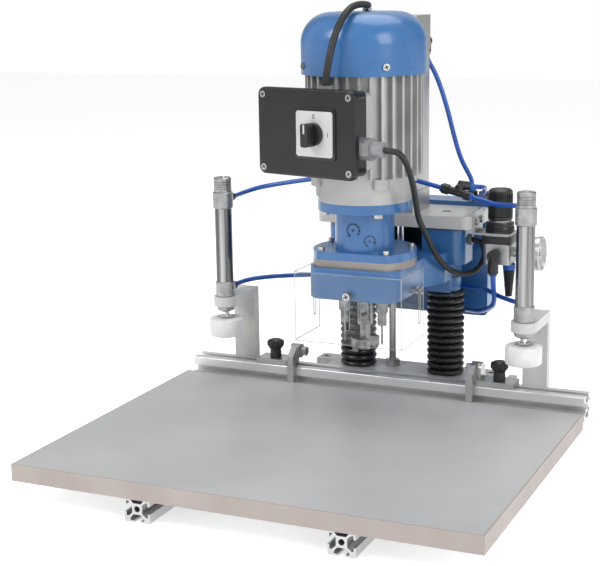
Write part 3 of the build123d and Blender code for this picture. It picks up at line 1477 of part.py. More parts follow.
hose_routes = {
    "hose_clamp_left_top": [
        (-clamp_x, clamp_port_y, clamp_port_high),
        (-clamp_x, clamp_port_y + 18.0, clamp_port_high),
        (-192.0, 143.0, 284.0),
        (-180.0, 156.0, 288.0),
        (-157.0, 161.5, 292.5),
        (-118.0, 163.0, 299.5),
        (-72.0, 161.0, 306.5),
        (-18.0, 159.5, 310.5),
        (20.0, 160.0, 309.5),
        y_point(-42.0, 0.0, 0.0),
        y_point(-18.0, 0.0, 0.0),
    ],
    "hose_clamp_right_top": [
        y_point(18.0, 0.0, -1.0),
        y_point(34.0, 0.0, -1.0),
        (138.0, 153.0, 281.5),
        (160.0, 144.0, 283.5),
        (178.0, 142.5, 284.0),
        (190.0, 135.0, 283.0),
        (clamp_x, clamp_port_y + 16.0, clamp_port_high),
        (clamp_x, clamp_port_y, clamp_port_high),
    ],
    "hose_clamp_supply": [
        branch_point(branch_length),
        branch_point(branch_length + 8.0),
        (108.5, 185.0, 297.6),
        (110.0, 197.0, 295.5),
        (106.5, 213.0, 290.5),
        (99.0, 228.0, 282.0),
        (supply_entry_x, housing_middle - elbow_reach - 12.0, supply_entry_z),
        (supply_entry_x, housing_middle - elbow_reach, supply_entry_z),
    ],
    "hose_feed_top": [
        (feed_port_x, feed_port_y, feed_port_z - feed_port_drop),
        (feed_port_x, feed_port_y, feed_port_z - feed_port_drop - 8.0),
        (33.0, 238.0, 430.0),
        (46.0, 240.0, 392.0),
        (56.0, 243.0, 350.0),
        (63.0, 249.0, 322.0),
        (71.0, 257.0, 303.0),
        (feed_entry_x, housing_middle, housing_top + entry_rise + 12.0),
        (feed_entry_x, housing_middle, housing_top + entry_rise),
    ],
    "hose_clamp_left_low": [
        (-clamp_x, clamp_port_y, clamp_port_low),
        (-clamp_x, clamp_port_y + 17.0, clamp_port_low),
        (-186.0, 143.0, 169.5),
        (-162.0, 166.0, 170.0),
        (-134.0, 193.0, 168.0),
        (-112.0, 218.0, 166.5),
        (-97.0, 233.5, 165.3),
        *elbow_run("left_low"),
    ],
    "hose_clamp_right_low": [
        (clamp_x, clamp_port_y, clamp_port_low),
        (clamp_x, clamp_port_y + 13.0, clamp_port_low),
        (178.0, 133.0, 167.0),
        (152.0, 160.0, 164.5),
        (131.0, 187.0, 162.5),
        (115.0, 212.0, 161.0),
        (98.0, 231.0, 160.0),
        *elbow_run("right_low"),
    ],
    "hose_feed_low": [
        (outlet_x, outlet_y, outlet_z - outlet_drop),
        (outlet_x, outlet_y, outlet_z - outlet_drop - 12.0),
        (133.0, 170.0, 166.0),
        (129.0, 181.0, 152.0),
        (118.5, 195.0, 143.0),
        (108.5, 206.5, 137.0),
        (97.0, 217.0, 132.5),
        (83.0, 230.0, 130.0),
        *elbow_run("feed_low"),
    ],
}


# ---------------------------------------------------------------- write the parts
save("base_profiles", *base_profiles())
save("table_board", table_board())
save("table_edge_bands", *table_edge_bands())
save("fence_profile", fence_profile())
save("base_plate", base_plate())
save("frame_bolts", *frame_bolts())
save("guide_columns", *guide_columns())
save("top_plate", top_plate())
save("depth_stop_rod", *depth_stop_rod())
save("column_bellows", *column_bellows())
save("head_casting", head_casting())
save("guide_bushes", *guide_bushes())
save("gearbox_spacer", gearbox_spacer())
save("motor_adapter", motor_adapter())
save("head_screws", *head_screws())
save("motor_end_shields", motor_end_shield(), rear_bearing_plate())
save("motor_stator", motor_stator())
save("motor_fan_cover", motor_fan_cover())
save("motor_rotor", *motor_rotor())
save("terminal_base", terminal_base())
save("switch_box", switch_box())
save("switch_lid", *switch_lid())
save("switch_knob", switch_knob())
save("cable_glands", *cable_glands())
save("centre_spindle", centre_spindle())
save("spindle_bearings", *spindle_bearings())
save("hinge_cutter", hinge_cutter())
save("drill_guard", drill_guard())
save("feed_cylinder", *feed_cylinder())
save("feed_piston", feed_piston())
save("rear_housing", rear_housing())
save("regulator_body", *regulator_body())
save("regulator_knob", regulator_knob())
save("pressure_gauge", *pressure_gauge())
save("gauge_needle", gauge_needle())
save("air_fittings", *air_fittings())
save("clamp_brackets", *clamp_brackets())
for name, side in sides.items():
    save(f"side_spindle_{name}", *side_spindle(side))
    save(f"clamp_cylinder_{name}", *clamp_cylinder(side))
    save(f"clamp_rod_{name}", *clamp_rod(side))
    save(f"clamp_pad_{name}", clamp_pad(side))
    save(f"stop_body_{name}", *stop_body(name))
    save(f"stop_knob_{name}", stop_knob(name))
    save(f"stop_flap_{name}", stop_flap(name))
save("control_cable", cord("control_cable", control_cable_d, control_cable_route))
save("motor_cable", cord("motor_cable", motor_cable_d, motor_cable_route))
for name, route in hose_routes.items():
    save(name, cord(name, hose_d, route))
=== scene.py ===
import math

import bmesh
import bpy
from mathutils import Matrix, Vector


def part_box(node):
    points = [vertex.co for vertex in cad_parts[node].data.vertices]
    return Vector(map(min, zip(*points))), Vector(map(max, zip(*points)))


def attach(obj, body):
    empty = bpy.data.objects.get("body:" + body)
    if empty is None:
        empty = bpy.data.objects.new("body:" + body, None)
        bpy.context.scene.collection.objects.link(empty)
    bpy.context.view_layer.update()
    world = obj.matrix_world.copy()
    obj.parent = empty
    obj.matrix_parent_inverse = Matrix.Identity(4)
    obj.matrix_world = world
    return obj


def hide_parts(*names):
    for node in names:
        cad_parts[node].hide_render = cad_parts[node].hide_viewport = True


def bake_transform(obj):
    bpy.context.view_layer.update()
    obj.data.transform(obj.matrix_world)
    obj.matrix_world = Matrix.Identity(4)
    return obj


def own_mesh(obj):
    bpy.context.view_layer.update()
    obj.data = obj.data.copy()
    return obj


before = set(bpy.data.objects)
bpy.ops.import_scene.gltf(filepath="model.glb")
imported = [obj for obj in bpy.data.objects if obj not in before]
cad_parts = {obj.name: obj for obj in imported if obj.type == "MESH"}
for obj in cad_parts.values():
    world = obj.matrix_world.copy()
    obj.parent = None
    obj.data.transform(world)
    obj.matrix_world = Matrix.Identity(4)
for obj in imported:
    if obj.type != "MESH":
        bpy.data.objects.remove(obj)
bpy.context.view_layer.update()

# ------------------------------------------------------------------ camera, floor and light
# The machine stands on a pale studio floor.  The camera looks down on it from the front right,
# and three large soft lights with a white surround leave only faint shadows.
scene = bpy.context.scene
scene.view_settings.view_transform = "Standard"


def look_along(azimuth, elevation, roll):
    """Camera axes: right, up and backwards, from three angles in degrees."""
    a, e, r = (math.radians(angle) for angle in (azimuth, elevation, roll))
    back = Vector((math.sin(a) * math.cos(e), -math.cos(a) * math.cos(e), math.sin(e)))
    right = Vector((math.cos(a), math.sin(a), 0.0))
    up = back.cross(right)
    turned_right = right * math.cos(r) + up * math.sin(r)
    turned_up = up * math.cos(r) - right * math.sin(r)
    return Matrix((turned_right, turned_up, back)).transposed().to_4x4()


camera_data = bpy.data.cameras.new("camera")
camera_data.sensor_width = 36.0
camera_data.lens = 83.68
camera_data.shift_x = 0.0162
camera_data.shift_y = 0.0089
camera = bpy.data.objects.new("camera", camera_data)
camera.matrix_world = Matrix.Translation((0.6062, -1.4562, 0.5504)) @ look_along(24.766, 12.487, -0.985)
scene.collection.objects.link(camera)
scene.camera = camera

floor_mesh = bpy.data.meshes.new("floor")
floor_half = 6.0
floor_corners = [(x * floor_half, y * floor_half, 0) for x, y in ((-1, -1), (1, -1), (1, 1), (-1, 1))]
floor_mesh.from_pydata(floor_corners, [], [(0, 1, 2, 3)])
floor = bpy.data.objects.new("floor", floor_mesh)
scene.collection.objects.link(floor)
floor_paint = bpy.data.materials.new("floor_paint")
floor_paint.use_nodes = True
floor_shader = floor_paint.node_tree.nodes["Principled BSDF"]
floor_shader.inputs["Base Color"].default_value = (0.9, 0.9, 0.9, 1)
floor_shader.inputs["Roughness"].default_value = 0.8
floor_shader.inputs["Emission Color"].default_value = (1, 1, 1, 1)
floor_shader.inputs["Emission Strength"].default_value = 0.52
floor_mesh.materials.append(floor_paint)

world = bpy.data.worlds.new("white_surround")
world.use_nodes = True
surround = world.node_tree
dim_wall = surround.nodes["Background"]
dim_wall.inputs["Strength"].default_value = 0.62
white_wall = surround.nodes.new("ShaderNodeBackground")
white_wall.inputs["Strength"].default_value = 1.0
white_wall.inputs["Color"].default_value = (1, 1, 1, 1)
seen_directly = surround.nodes.new("ShaderNodeLightPath")
wall_or_light = surround.nodes.new("ShaderNodeMixShader")
direction = surround.nodes.new("ShaderNodeTexCoord")
strips = surround.nodes.new("ShaderNodeTexGradient")
strips.gradient_type = "RADIAL"
strip_tones = surround.nodes.new("ShaderNodeValToRGB")
strip_tones.color_ramp.elements[0].color = (1, 1, 1, 1)
for position, tone in (
    (0.10, 1.0), (0.14, 0.25), (0.18, 0.25), (0.22, 1.0), (0.34, 1.0), (0.37, 0.3), (0.41, 0.3), (0.44, 1.0),
    (0.60, 1.0), (0.64, 0.25), (0.70, 0.25), (0.74, 1.0), (0.84, 1.0), (0.88, 0.3), (0.92, 0.3), (0.95, 1.0),
):
    strip_tones.color_ramp.elements.new(position).color = (tone, tone, tone, 1)
surround.links.new(direction.outputs["Generated"], strips.inputs["Vector"])
surround.links.new(strips.outputs["Fac"], strip_tones.inputs["Fac"])
surround.links.new(strip_tones.outputs["Color"], dim_wall.inputs["Color"])
surround.links.new(seen_directly.outputs["Is Camera Ray"], wall_or_light.inputs["Fac"])
surround.links.new(dim_wall.outputs["Background"], wall_or_light.inputs[1])
surround.links.new(white_wall.outputs["Background"], wall_or_light.inputs[2])
surround.links.new(wall_or_light.outputs["Shader"], surround.nodes["World Output"].inputs["Surface"])
scene.world = world


def soft_light(name, place, target, size, power):
    """A rectangular lamp at a place, turned towards its target."""
    light = bpy.data.lights.new(name, "AREA")
    light.shape = "RECTANGLE"
    light.size, light.size_y = size
    light.energy = power
    lamp = bpy.data.objects.new(name, light)
    lamp.location = place
    lamp.rotation_euler = (Vector(target) - Vector(place)).to_track_quat("-Z", "Y").to_euler()
    scene.collection.objects.link(lamp)


soft_light("key_light", (-1.1, -1.5, 1.7), (0, 0, 0.25), (1.2, 1.0), 26)
soft_light("fill_light", (1.7, -0.9, 1.1), (0, 0.1, 0.25), (0.8, 1.2), 16)
soft_light("top_light", (0.1, 0.5, 2.0), (0, 0.1, 0.3), (1.4, 1.4), 16)

# ------------------------------------------------------------------ air hoses
# Seven blue polyurethane hoses, 6 mm outside, pushed into their fittings.  Each lies in one
# smooth line between two ports, held only by its ends.


def blank_finish(name):
    """A new material, with its node tree and its Principled shader."""
    material = bpy.data.materials.new(name)
    material.use_nodes = True
    tree = material.node_tree
    return material, tree, tree.nodes["Principled BSDF"]


def object_noise(tree, size, detail=3.0, stretch=(1, 1, 1)):
    """Noise over the piece, with features about size metres across, from 0 to 1."""
    coordinates = tree.nodes.new("ShaderNodeTexCoord")
    mapping = tree.nodes.new("ShaderNodeMapping")
    mapping.inputs["Scale"].default_value = stretch
    noise = tree.nodes.new("ShaderNodeTexNoise")
    noise.inputs["Scale"].default_value = 1.0 / size
    noise.inputs["Detail"].default_value = detail
    tree.links.new(coordinates.outputs["Object"], mapping.inputs["Vector"])
    tree.links.new(mapping.outputs["Vector"], noise.inputs["Vector"])
    return noise.outputs["Fac"]


def two_tones(tree, share, first, second, low=0.3, high=0.7):
    """Colour that goes from first to second as share goes from low to high."""
    ramp = tree.nodes.new("ShaderNodeValToRGB")
    ramp.color_ramp.elements[0].position = low
    ramp.color_ramp.elements[0].color = (*first, 1)
    ramp.color_ramp.elements[1].position = high
    ramp.color_ramp.elements[1].color = (*second, 1)
    tree.links.new(share, ramp.inputs["Fac"])
    return ramp.outputs["Color"]


def between(tree, share, low, high):
    """A number from low to high, following share."""
    spread = tree.nodes.new("ShaderNodeMapRange")
    spread.inputs["To Min"].default_value = low
    spread.inputs["To Max"].default_value = high
    tree.links.new(share, spread.inputs["Value"])
    return spread.outputs["Result"]


def relief(tree, shader, height, depth):
    """Relief in the surface, as deep as depth where height goes from 0 to 1."""
    bump = tree.nodes.new("ShaderNodeBump")
    bump.inputs["Distance"].default_value = depth
    bump.inputs["Strength"].default_value = 1.0
    tree.links.new(height, bump.inputs["Height"])
    tree.links.new(bump.outputs["Normal"], shader.inputs["Normal"])


def cloudy_finish(name, first, second, drift, rough, grain, depth, metal=0.0, coat=0.0, stretch=(1, 1, 1)):
    """A finish whose tone drifts slowly, with uneven gloss and a fine grain."""
    material, tree, shader = blank_finish(name)
    slow = object_noise(tree, drift, 2.0)
    fine = object_noise(tree, grain, 3.0, stretch)
    tree.links.new(two_tones(tree, slow, first, second), shader.inputs["Base Color"])
    tree.links.new(between(tree, fine, *rough), shader.inputs["Roughness"])
    relief(tree, shader, fine, depth)
    shader.inputs["Metallic"].default_value = metal
    shader.inputs["Coat Weight"].default_value = coat
    return material


hose_finish = cloudy_finish(
    "hose_polyurethane", (0.010, 0.075, 0.37), (0.014, 0.10, 0.46), 0.05, (0.25, 0.36), 0.002, 0.00002,
    coat=0.3,
)
hose_diameter = 0.006
hose_routes = {
    "hose_clamp_left_top": [
        (-0.1943, 0.106, 0.2823), (-0.1943, 0.124, 0.2823), (-0.192, 0.143, 0.284), (-0.18, 0.156, 0.288),
        (-0.157, 0.1615, 0.2925), (-0.118, 0.163, 0.2995), (-0.072, 0.161, 0.3065), (-0.018, 0.1595, 0.3105),
        (0.02, 0.16, 0.3095), (0.0441, 0.163, 0.3029), (0.0675, 0.163, 0.2975),
    ],
    "hose_clamp_right_top": [
        (0.1023, 0.163, 0.2885), (0.1179, 0.163, 0.2849), (0.138, 0.153, 0.2815), (0.16, 0.144, 0.2835),
        (0.178, 0.1425, 0.284), (0.19, 0.135, 0.283), (0.1943, 0.122, 0.2823), (0.1943, 0.106, 0.2823),
    ],
    "hose_clamp_supply": [
        (0.0967, 0.1728, 0.3), (0.1026, 0.1779, 0.2987), (0.1085, 0.185, 0.2976), (0.11, 0.197, 0.2955),
        (0.1065, 0.213, 0.2905), (0.099, 0.228, 0.282), (0.09, 0.238, 0.274), (0.09, 0.25, 0.274),
    ],
    "hose_feed_top": [
        (0.02, 0.238, 0.458), (0.02, 0.238, 0.45), (0.033, 0.238, 0.43), (0.046, 0.24, 0.392),
        (0.056, 0.243, 0.35), (0.063, 0.249, 0.322), (0.071, 0.257, 0.303), (0.074, 0.264, 0.292),
        (0.074, 0.264, 0.28),
    ],
    "hose_clamp_left_low": [
        (-0.1943, 0.106, 0.168), (-0.1943, 0.123, 0.168), (-0.186, 0.143, 0.1695), (-0.162, 0.166, 0.17),
        (-0.134, 0.193, 0.168), (-0.112, 0.218, 0.1665), (-0.097, 0.2335, 0.1653), (-0.086, 0.238, 0.165),
        (-0.074, 0.238, 0.165),
    ],
    "hose_clamp_right_low": [
        (0.1943, 0.106, 0.168), (0.1943, 0.119, 0.168), (0.178, 0.133, 0.167), (0.152, 0.16, 0.1645),
        (0.131, 0.187, 0.1625), (0.115, 0.212, 0.161), (0.098, 0.231, 0.16), (0.074, 0.238, 0.16),
        (0.062, 0.238, 0.16),
    ],
    "hose_feed_low": [
        (0.132, 0.165, 0.1945), (0.132, 0.165, 0.1825), (0.133, 0.17, 0.166), (0.129, 0.181, 0.152),
        (0.1185, 0.195, 0.143), (0.1085, 0.2065, 0.137), (0.097, 0.217, 0.1325), (0.083, 0.23, 0.13),
        (0.074, 0.238, 0.128), (0.062, 0.238, 0.128),
    ],
}


def lay_cord(name, route, diameter):
    """A NURBS curve with a round section, along given points."""
    curve = bpy.data.curves.new(name, "CURVE")
    curve.dimensions = "3D"
    spline = curve.splines.new("NURBS")
    spline.points.add(len(route) - 1)
    for point, place in zip(spline.points, route):
        point.co = (*place, 1.0)
    spline.order_u = 3
    spline.use_endpoint_u = True
    curve.resolution_u = 10
    curve.bevel_depth = diameter / 2
    curve.bevel_resolution = 5
    curve.use_fill_caps = True
    cord = bpy.data.objects.new(name, curve)
    scene.collection.objects.link(cord)
    return cord


for hose_name, route in hose_routes.items():
    hose = lay_cord(hose_name + "_tube", route, hose_diameter)
    hose.data.materials.append(hose_finish)
    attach(hose, "frame")
    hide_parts(hose_name)

# ------------------------------------------------------------------ rubber cables
# Two black rubber cables.  One runs from the box's side gland to the carriage's rubber entry,
# and the other over the fan cover to the rear housing.
cable_finish = cloudy_finish(
    "cable_rubber", (0.009, 0.009, 0.010), (0.017, 0.017, 0.018), 0.03, (0.42, 0.58), 0.0012, 0.00004
)
control_route = [
    (0.0689, -0.0403, 0.3674), (0.0786, -0.0429, 0.3674), (0.0848, -0.036, 0.3641), (0.0863, -0.018, 0.3505),
    (0.0828, 0.01, 0.3266), (0.0758, 0.04, 0.3014), (0.0696, 0.068, 0.2733), (0.0696, 0.097, 0.2498),
    (0.072, 0.122, 0.223), (0.077, 0.145, 0.2028), (0.0873, 0.165, 0.1908), (0.0981, 0.18, 0.1892),
    (0.1066, 0.19, 0.1948), (0.1105, 0.199, 0.206), (0.11, 0.202, 0.217), (0.104, 0.202, 0.228),
    (0.094, 0.202, 0.228),
]
control_cable = lay_cord("control_cable_lead", control_route, 0.007)
control_cable.data.materials.append(cable_finish)
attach(control_cable, "head")
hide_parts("control_cable")

motor_route = [
    (-0.0084, -0.0196, 0.4344), (-0.0084, -0.0196, 0.4464), (-0.0045, -0.02, 0.4627),
    (-0.002, -0.014, 0.4842), (0.0028, -0.002, 0.5056), (0.0055, 0.018, 0.5185),
    (0.0032, 0.048, 0.5215), (-0.0009, 0.08, 0.521),
    (-0.005, 0.102, 0.5195), (-0.013, 0.12, 0.517), (-0.023, 0.134, 0.51), (-0.033, 0.145, 0.496),
    (-0.04, 0.151, 0.472), (-0.043, 0.155, 0.44), (-0.043, 0.16, 0.408), (-0.043, 0.173, 0.374),
    (-0.042, 0.197, 0.341), (-0.041, 0.226, 0.318), (-0.04, 0.252, 0.308), (-0.04, 0.264, 0.292),
    (-0.04, 0.264, 0.28),
]


def plain_mesh(piece, name):
    """The evaluated piece as a plain mesh object, in the same place."""
    bpy.context.view_layer.update()
    evaluated = piece.evaluated_get(bpy.context.evaluated_depsgraph_get())
    mesh = bpy.data.meshes.new_from_object(evaluated)
    mesh.name = name
    made = bpy.data.objects.new(name, mesh)
    scene.collection.objects.link(made)
    return made


guide = lay_cord("motor_cable_line", motor_route, 0.008)
motor_cable = plain_mesh(guide, "motor_cable_lead")
guide.data.bevel_depth = 0.0
line = plain_mesh(guide, "motor_cable_points")
bpy.data.objects.remove(line)
bpy.data.objects.remove(guide)
motor_cable.data.materials.clear()
motor_cable.data.materials.append(cable_finish)
motor_cable.data.polygons.foreach_set("use_smooth", [True] * len(motor_cable.data.polygons))
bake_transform(motor_cable)
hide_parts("motor_cable")

# ------------------------------------------------------------------ aluminium profiles
# Two base profiles and the fence, pressed from aluminium, sawn to length and anodised.
# The die leaves fine straight lines along each one.


def coat(node_names, finish):
    """Give CAD nodes their finish."""
    for node_name in node_names:
        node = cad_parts[node_name]
        node.data.materials.clear()
        node.data.materials.append(finish)


base_profile_finish = cloudy_finish(
    "drawn_aluminium_lengthwise", (0.52, 0.52, 0.52), (0.62, 0.62, 0.62), 0.09, (0.30, 0.46), 0.0009, 0.00003,
    metal=0.85, stretch=(1, 0.02, 1),
)
fence_finish = cloudy_finish(
    "drawn_aluminium_crosswise", (0.66, 0.66, 0.66), (0.76, 0.76, 0.76), 0.09, (0.26, 0.42), 0.0009, 0.00003,
    metal=0.65, stretch=(0.02, 1, 1),
)
coat(["base_profiles"], base_profile_finish)
coat(["fence_profile"], fence_finish)

# ------------------------------------------------------------------ table
# A 19 mm board faced with pale grey laminate, which work has polished in long faint streaks.
# Beige-pink plastic bands are glued round its four edges.
laminate_finish, tree, shader = blank_finish("grey_laminate")
streaks = object_noise(tree, 0.010, 4.0, (0.05, 1, 1))
clouds = object_noise(tree, 0.16, 3.0)
specks = object_noise(tree, 0.0007, 2.0)
base_tone = two_tones(tree, clouds, (0.385, 0.387, 0.39), (0.455, 0.457, 0.46), 0.3, 0.7)
speck_tone = two_tones(tree, specks, (0.86, 0.86, 0.86), (1.0, 1.0, 1.0), 0.30, 0.45)
mixed = tree.nodes.new("ShaderNodeMix")
mixed.data_type = "RGBA"
mixed.blend_type = "MULTIPLY"
mixed.inputs["Factor"].default_value = 1.0
tree.links.new(base_tone, mixed.inputs["A"])
tree.links.new(speck_tone, mixed.inputs["B"])
tree.links.new(mixed.outputs["Result"], shader.inputs["Base Color"])
tree.links.new(between(tree, streaks, 0.22, 0.46), shader.inputs["Roughness"])
relief(tree, shader, specks, 0.00002)
coat(["table_board"], laminate_finish)
edge_band_finish = cloudy_finish(
    "beige_edge_band", (0.335, 0.288, 0.272), (0.395, 0.345, 0.325), 0.07, (0.34, 0.5), 0.0015, 0.00003,
    stretch=(0.3, 0.3, 1),
)
coat(["table_edge_bands"], edge_band_finish)

# ------------------------------------------------------------------ base plate, columns and top plate
# Grey-painted steel plates, carrying two ground steel columns.  Zinc-plated cap screws hold
# them from below and above.
plate_paint = cloudy_finish(
    "grey_machine_paint", (0.50, 0.50, 0.485), (0.58, 0.58, 0.565), 0.06, (0.30, 0.48), 0.0012, 0.00005,
    coat=0.15,
)
coat(["base_plate", "top_plate", "clamp_brackets"], plate_paint)
spacer_finish = cloudy_finish(
    "taupe_spacer_metal", (0.27, 0.245, 0.225), (0.34, 0.31, 0.285), 0.03, (0.32, 0.46), 0.0008, 0.00004,
    metal=0.35,
)
coat(["gearbox_spacer"], spacer_finish)
zinc_finish = cloudy_finish(
    "zinc_plate", (0.40, 0.40, 0.39), (0.54, 0.54, 0.52), 0.012, (0.20, 0.38), 0.0008, 0.00003, metal=1.0
)
coat(["frame_bolts", "depth_stop_rod", "head_screws"], zinc_finish)
ground_steel = cloudy_finish(
    "ground_steel", (0.56, 0.56, 0.565), (0.68, 0.68, 0.685), 0.03, (0.10, 0.22), 0.0006, 0.00001,
    metal=1.0, stretch=(0.1, 0.1, 1),
)
coat(["guide_columns", "feed_piston", "motor_rotor", "spindle_bearings"], ground_steel)
coat(["clamp_rod_left", "clamp_rod_right"], ground_steel)

# ------------------------------------------------------------------ column bellows
# Two moulded rubber bellows of thirteen folds keep chips off the columns below the head.
# Their fat rings meet in narrow valleys.
bellows_rubber = cloudy_finish(
    "bellows_rubber", (0.010, 0.010, 0.011), (0.020, 0.020, 0.021), 0.02, (0.20, 0.34), 0.0015, 0.00003
)


def points_round(shape, height, radii):
    """A ring of evenly spaced points at one height, each as far out as its radius."""
    turn = math.tau / len(radii)
    return [
        shape.verts.new((radius * math.cos(turn * step), radius * math.sin(turn * step), height))
        for step, radius in enumerate(radii)
    ]


def skin(shape, rings, closed=False):
    """Faces from each ring of points to the next; a ring of one point is a tip."""
    pairs = list(zip(rings, rings[1:]))
    if closed:
        pairs.append((rings[-1], rings[0]))
    for lower, upper in pairs:
        for step in range(max(len(lower), len(upper))):
            ahead = step + 1
            corners = [
                lower[step % len(lower)], lower[ahead % len(lower)],
                upper[ahead % len(upper)], upper[step % len(upper)],
            ]
            shape.faces.new(list(dict.fromkeys(corners)))


def turned(name, profile, finish, place=None, steps=64, closed=False):
    """A turned piece: (radius, height) points up its outside, spun round its own axis."""
    shape = bmesh.new()
    rings = []
    for radius, height in profile:
        around = steps if radius > 1e-6 else 1
        rings.append(points_round(shape, height, [radius] * around))
    skin(shape, rings, closed)
    return settled(name, shape, finish, place)


def settled(name, shape, finish, place=None, sharp=35.0):
    """Turn a worked shape into a smooth-shaded object at the origin, with its place in its mesh."""
    bmesh.ops.recalc_face_normals(shape, faces=shape.faces)
    mesh = bpy.data.meshes.new(name)
    shape.to_mesh(mesh)
    shape.free()
    if place is not None:
        mesh.transform(place)
    mesh.polygons.foreach_set("use_smooth", [True] * len(mesh.polygons))
    mesh.set_sharp_from_angle(angle=math.radians(sharp))
    mesh.materials.append(finish)
    piece = bpy.data.objects.new(name, mesh)
    scene.collection.objects.link(piece)
    return piece


bellows_low, bellows_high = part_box("column_bellows")
bellows_radius = (bellows_high[1] - bellows_low[1]) / 2
bellows_y = (bellows_high[1] + bellows_low[1]) / 2
bellows_root = 0.0192
bellows_bore = 0.0115
bellows_folds = 13
points_per_fold = 12
bellows_profile = [(bellows_bore, 0.0)]
bellows_height = bellows_high[2] - bellows_low[2]
for step in range(bellows_folds * points_per_fold + 1):
    swell = abs(math.sin(math.pi * step / points_per_fold)) ** 0.55
    radius = bellows_root + (bellows_radius - bellows_root) * swell
    bellows_profile.append((radius, bellows_height * step / (bellows_folds * points_per_fold)))
bellows_profile.append((bellows_bore, bellows_height))
for side, x in (("left", -0.06), ("right", 0.06)):
    bellows = turned(
        "bellows_" + side, bellows_profile, bellows_rubber,
        Matrix.Translation((x, bellows_y, bellows_low[2])), steps=72, closed=True,
    )
    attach(bellows, "frame")
    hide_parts("column_bellows")
    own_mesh(bellows)

# ------------------------------------------------------------------ head casting
# Gearbox and carriage in one aluminium casting, painted gloss blue over a faintly rough skin.
# The open recess between the hubs behind the gearbox is lined with dark panels of painted
# shade.  Its back is in three pieces, so that the depth stop rod can rise between them.


def gloss_paint(name, first, second, skin, depth):
    """Sprayed gloss paint: the tone drifts, the gloss is uneven and the surface has a soft skin."""
    material, tree, shader = blank_finish(name)
    drift = object_noise(tree, 0.05, 3.0)
    peel = object_noise(tree, skin, 2.0)
    wear = object_noise(tree, 0.008, 6.0)
    tree.links.new(two_tones(tree, drift, first, second), shader.inputs["Base Color"])
    tree.links.new(between(tree, wear, 0.20, 0.44), shader.inputs["Roughness"])
    relief(tree, shader, peel, depth)
    shader.inputs["Coat Weight"].default_value = 0.45
    shader.inputs["Coat Roughness"].default_value = 0.16
    return material


casting_paint = gloss_paint(
    "blue_casting_paint", (0.028, 0.128, 0.335), (0.038, 0.158, 0.39), 0.0016, 0.00009
)
coat(["head_casting", "motor_adapter"], casting_paint)
bush_bronze = cloudy_finish(
    "sintered_bronze", (0.42, 0.27, 0.11), (0.52, 0.35, 0.15), 0.01, (0.30, 0.45), 0.0006, 0.00004, metal=1.0
)
coat(["guide_bushes"], bush_bronze)
# Painted shade: a near-black finish for the panels in the recess and for the chuck's screw hole.
recess_shade = cloudy_finish(
    "painted_recess_shade", (0.006, 0.008, 0.014), (0.014, 0.018, 0.028), 0.012, (0.5, 0.8), 0.001, 0.0001
)


def rounded_block(name, low, high, edge, finish, place=None):
    """A block between two corners with its edges rounded."""
    shape = bmesh.new()
    bmesh.ops.create_cube(shape, size=1.0)
    for vertex in shape.verts:
        vertex.co = [a + (b - a) * (c + 0.5) for a, b, c in zip(low, high, vertex.co)]
    if edge > 0:
        bmesh.ops.bevel(shape, geom=shape.edges[:], offset=edge, segments=3, profile=0.5, affect="EDGES")
    return settled(name, shape, finish, place)


# Thin near-black panels of painted shade on the recess's back and sides.
recess_foot, recess_top = 0.2175, 0.2435
for name, low, high in (
    ("recess_back_left", (-0.0378, 0.2098, recess_foot), (-0.0208, 0.2108, recess_top)),
    ("recess_back_middle", (-0.0212, 0.2098, 0.2380), (-0.0088, 0.2108, recess_top)),
    ("recess_back_right", (-0.0092, 0.2098, recess_foot), (0.0378, 0.2108, recess_top)),
    ("recess_left", (-0.0379, 0.172, recess_foot), (-0.0370, 0.2105, recess_top)),
    ("recess_right", (0.0370, 0.172, recess_foot), (0.0379, 0.2105, recess_top)),
):
    piece = rounded_block(name, low, high, 0.0003, recess_shade)
    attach(piece, "head")

# ------------------------------------------------------------------ turning arrows on the neck
# Two ring arrows show the way the spindles turn: a large one and a small one the other way.
# They are printed in dark ink round the adapter's neck, each with a cross at its middle.
arrow_ink = cloudy_finish(
    "dark_arrow_ink", (0.004, 0.008, 0.03), (0.008, 0.014, 0.045), 0.01, (0.35, 0.5), 0.002, 0.00001
)
spindle_y = 0.0734
neck_film_r = 0.0357
ink_thickness = 0.00012


def neck_point(across, up, outwards):
    """A point on the neck's film, from distances round the neck and up it."""
    angle = across / neck_film_r
    radius = neck_film_r + outwards
    return (radius * math.sin(angle), spindle_y - radius * math.cos(angle), up)


def ring_arrow(name, across, up, radius, width, gaps, begin, way):
    """A dashed ring with an arrow head at its end, bent round the neck."""
    shape = bmesh.new()
    span = math.radians(300)
    dash = span / (gaps + 1)
    for index in range(gaps + 1):
        start = begin + way * index * dash
        pieces = 6
        lines = []
        for step in range(pieces + 1):
            angle = start + way * dash * 0.80 * step / pieces
            reach = (radius - width / 2, radius + width / 2)
            if index == gaps:
                share = 1 - step / pieces
                reach = (radius - 1.6 * width * share, radius + 1.6 * width * share)
            lines.append(
                [
                    shape.verts.new(neck_point(across + r * math.cos(angle), up + r * math.sin(angle), lift))
                    for r in reach
                    for lift in (0.0, ink_thickness)
                ]
            )
        for first, second in zip(lines, lines[1:]):
            shape.faces.new((first[0], first[1], second[1], second[0]))
            shape.faces.new((first[2], second[2], second[3], first[3]))
            shape.faces.new((first[1], first[3], second[3], second[1]))
            shape.faces.new((first[0], second[0], second[2], first[2]))
        for end in (lines[0], lines[-1]):
            shape.faces.new((end[0], end[2], end[3], end[1]))
    for half_x, half_z in ((radius * 0.28, width * 0.22), (width * 0.22, radius * 0.28)):
        corners = [(-half_x, -half_z), (half_x, -half_z), (half_x, half_z), (-half_x, half_z)]
        top = [shape.verts.new(neck_point(across + x, up + z, ink_thickness)) for x, z in corners]
        foot = [shape.verts.new(neck_point(across + x, up + z, 0.0)) for x, z in corners]
        shape.faces.new(top)
        shape.faces.new(foot)
        for index in range(4):
            ahead = (index + 1) % 4
            shape.faces.new((foot[index], foot[ahead], top[ahead], top[index]))
    return settled(name, shape, arrow_ink)


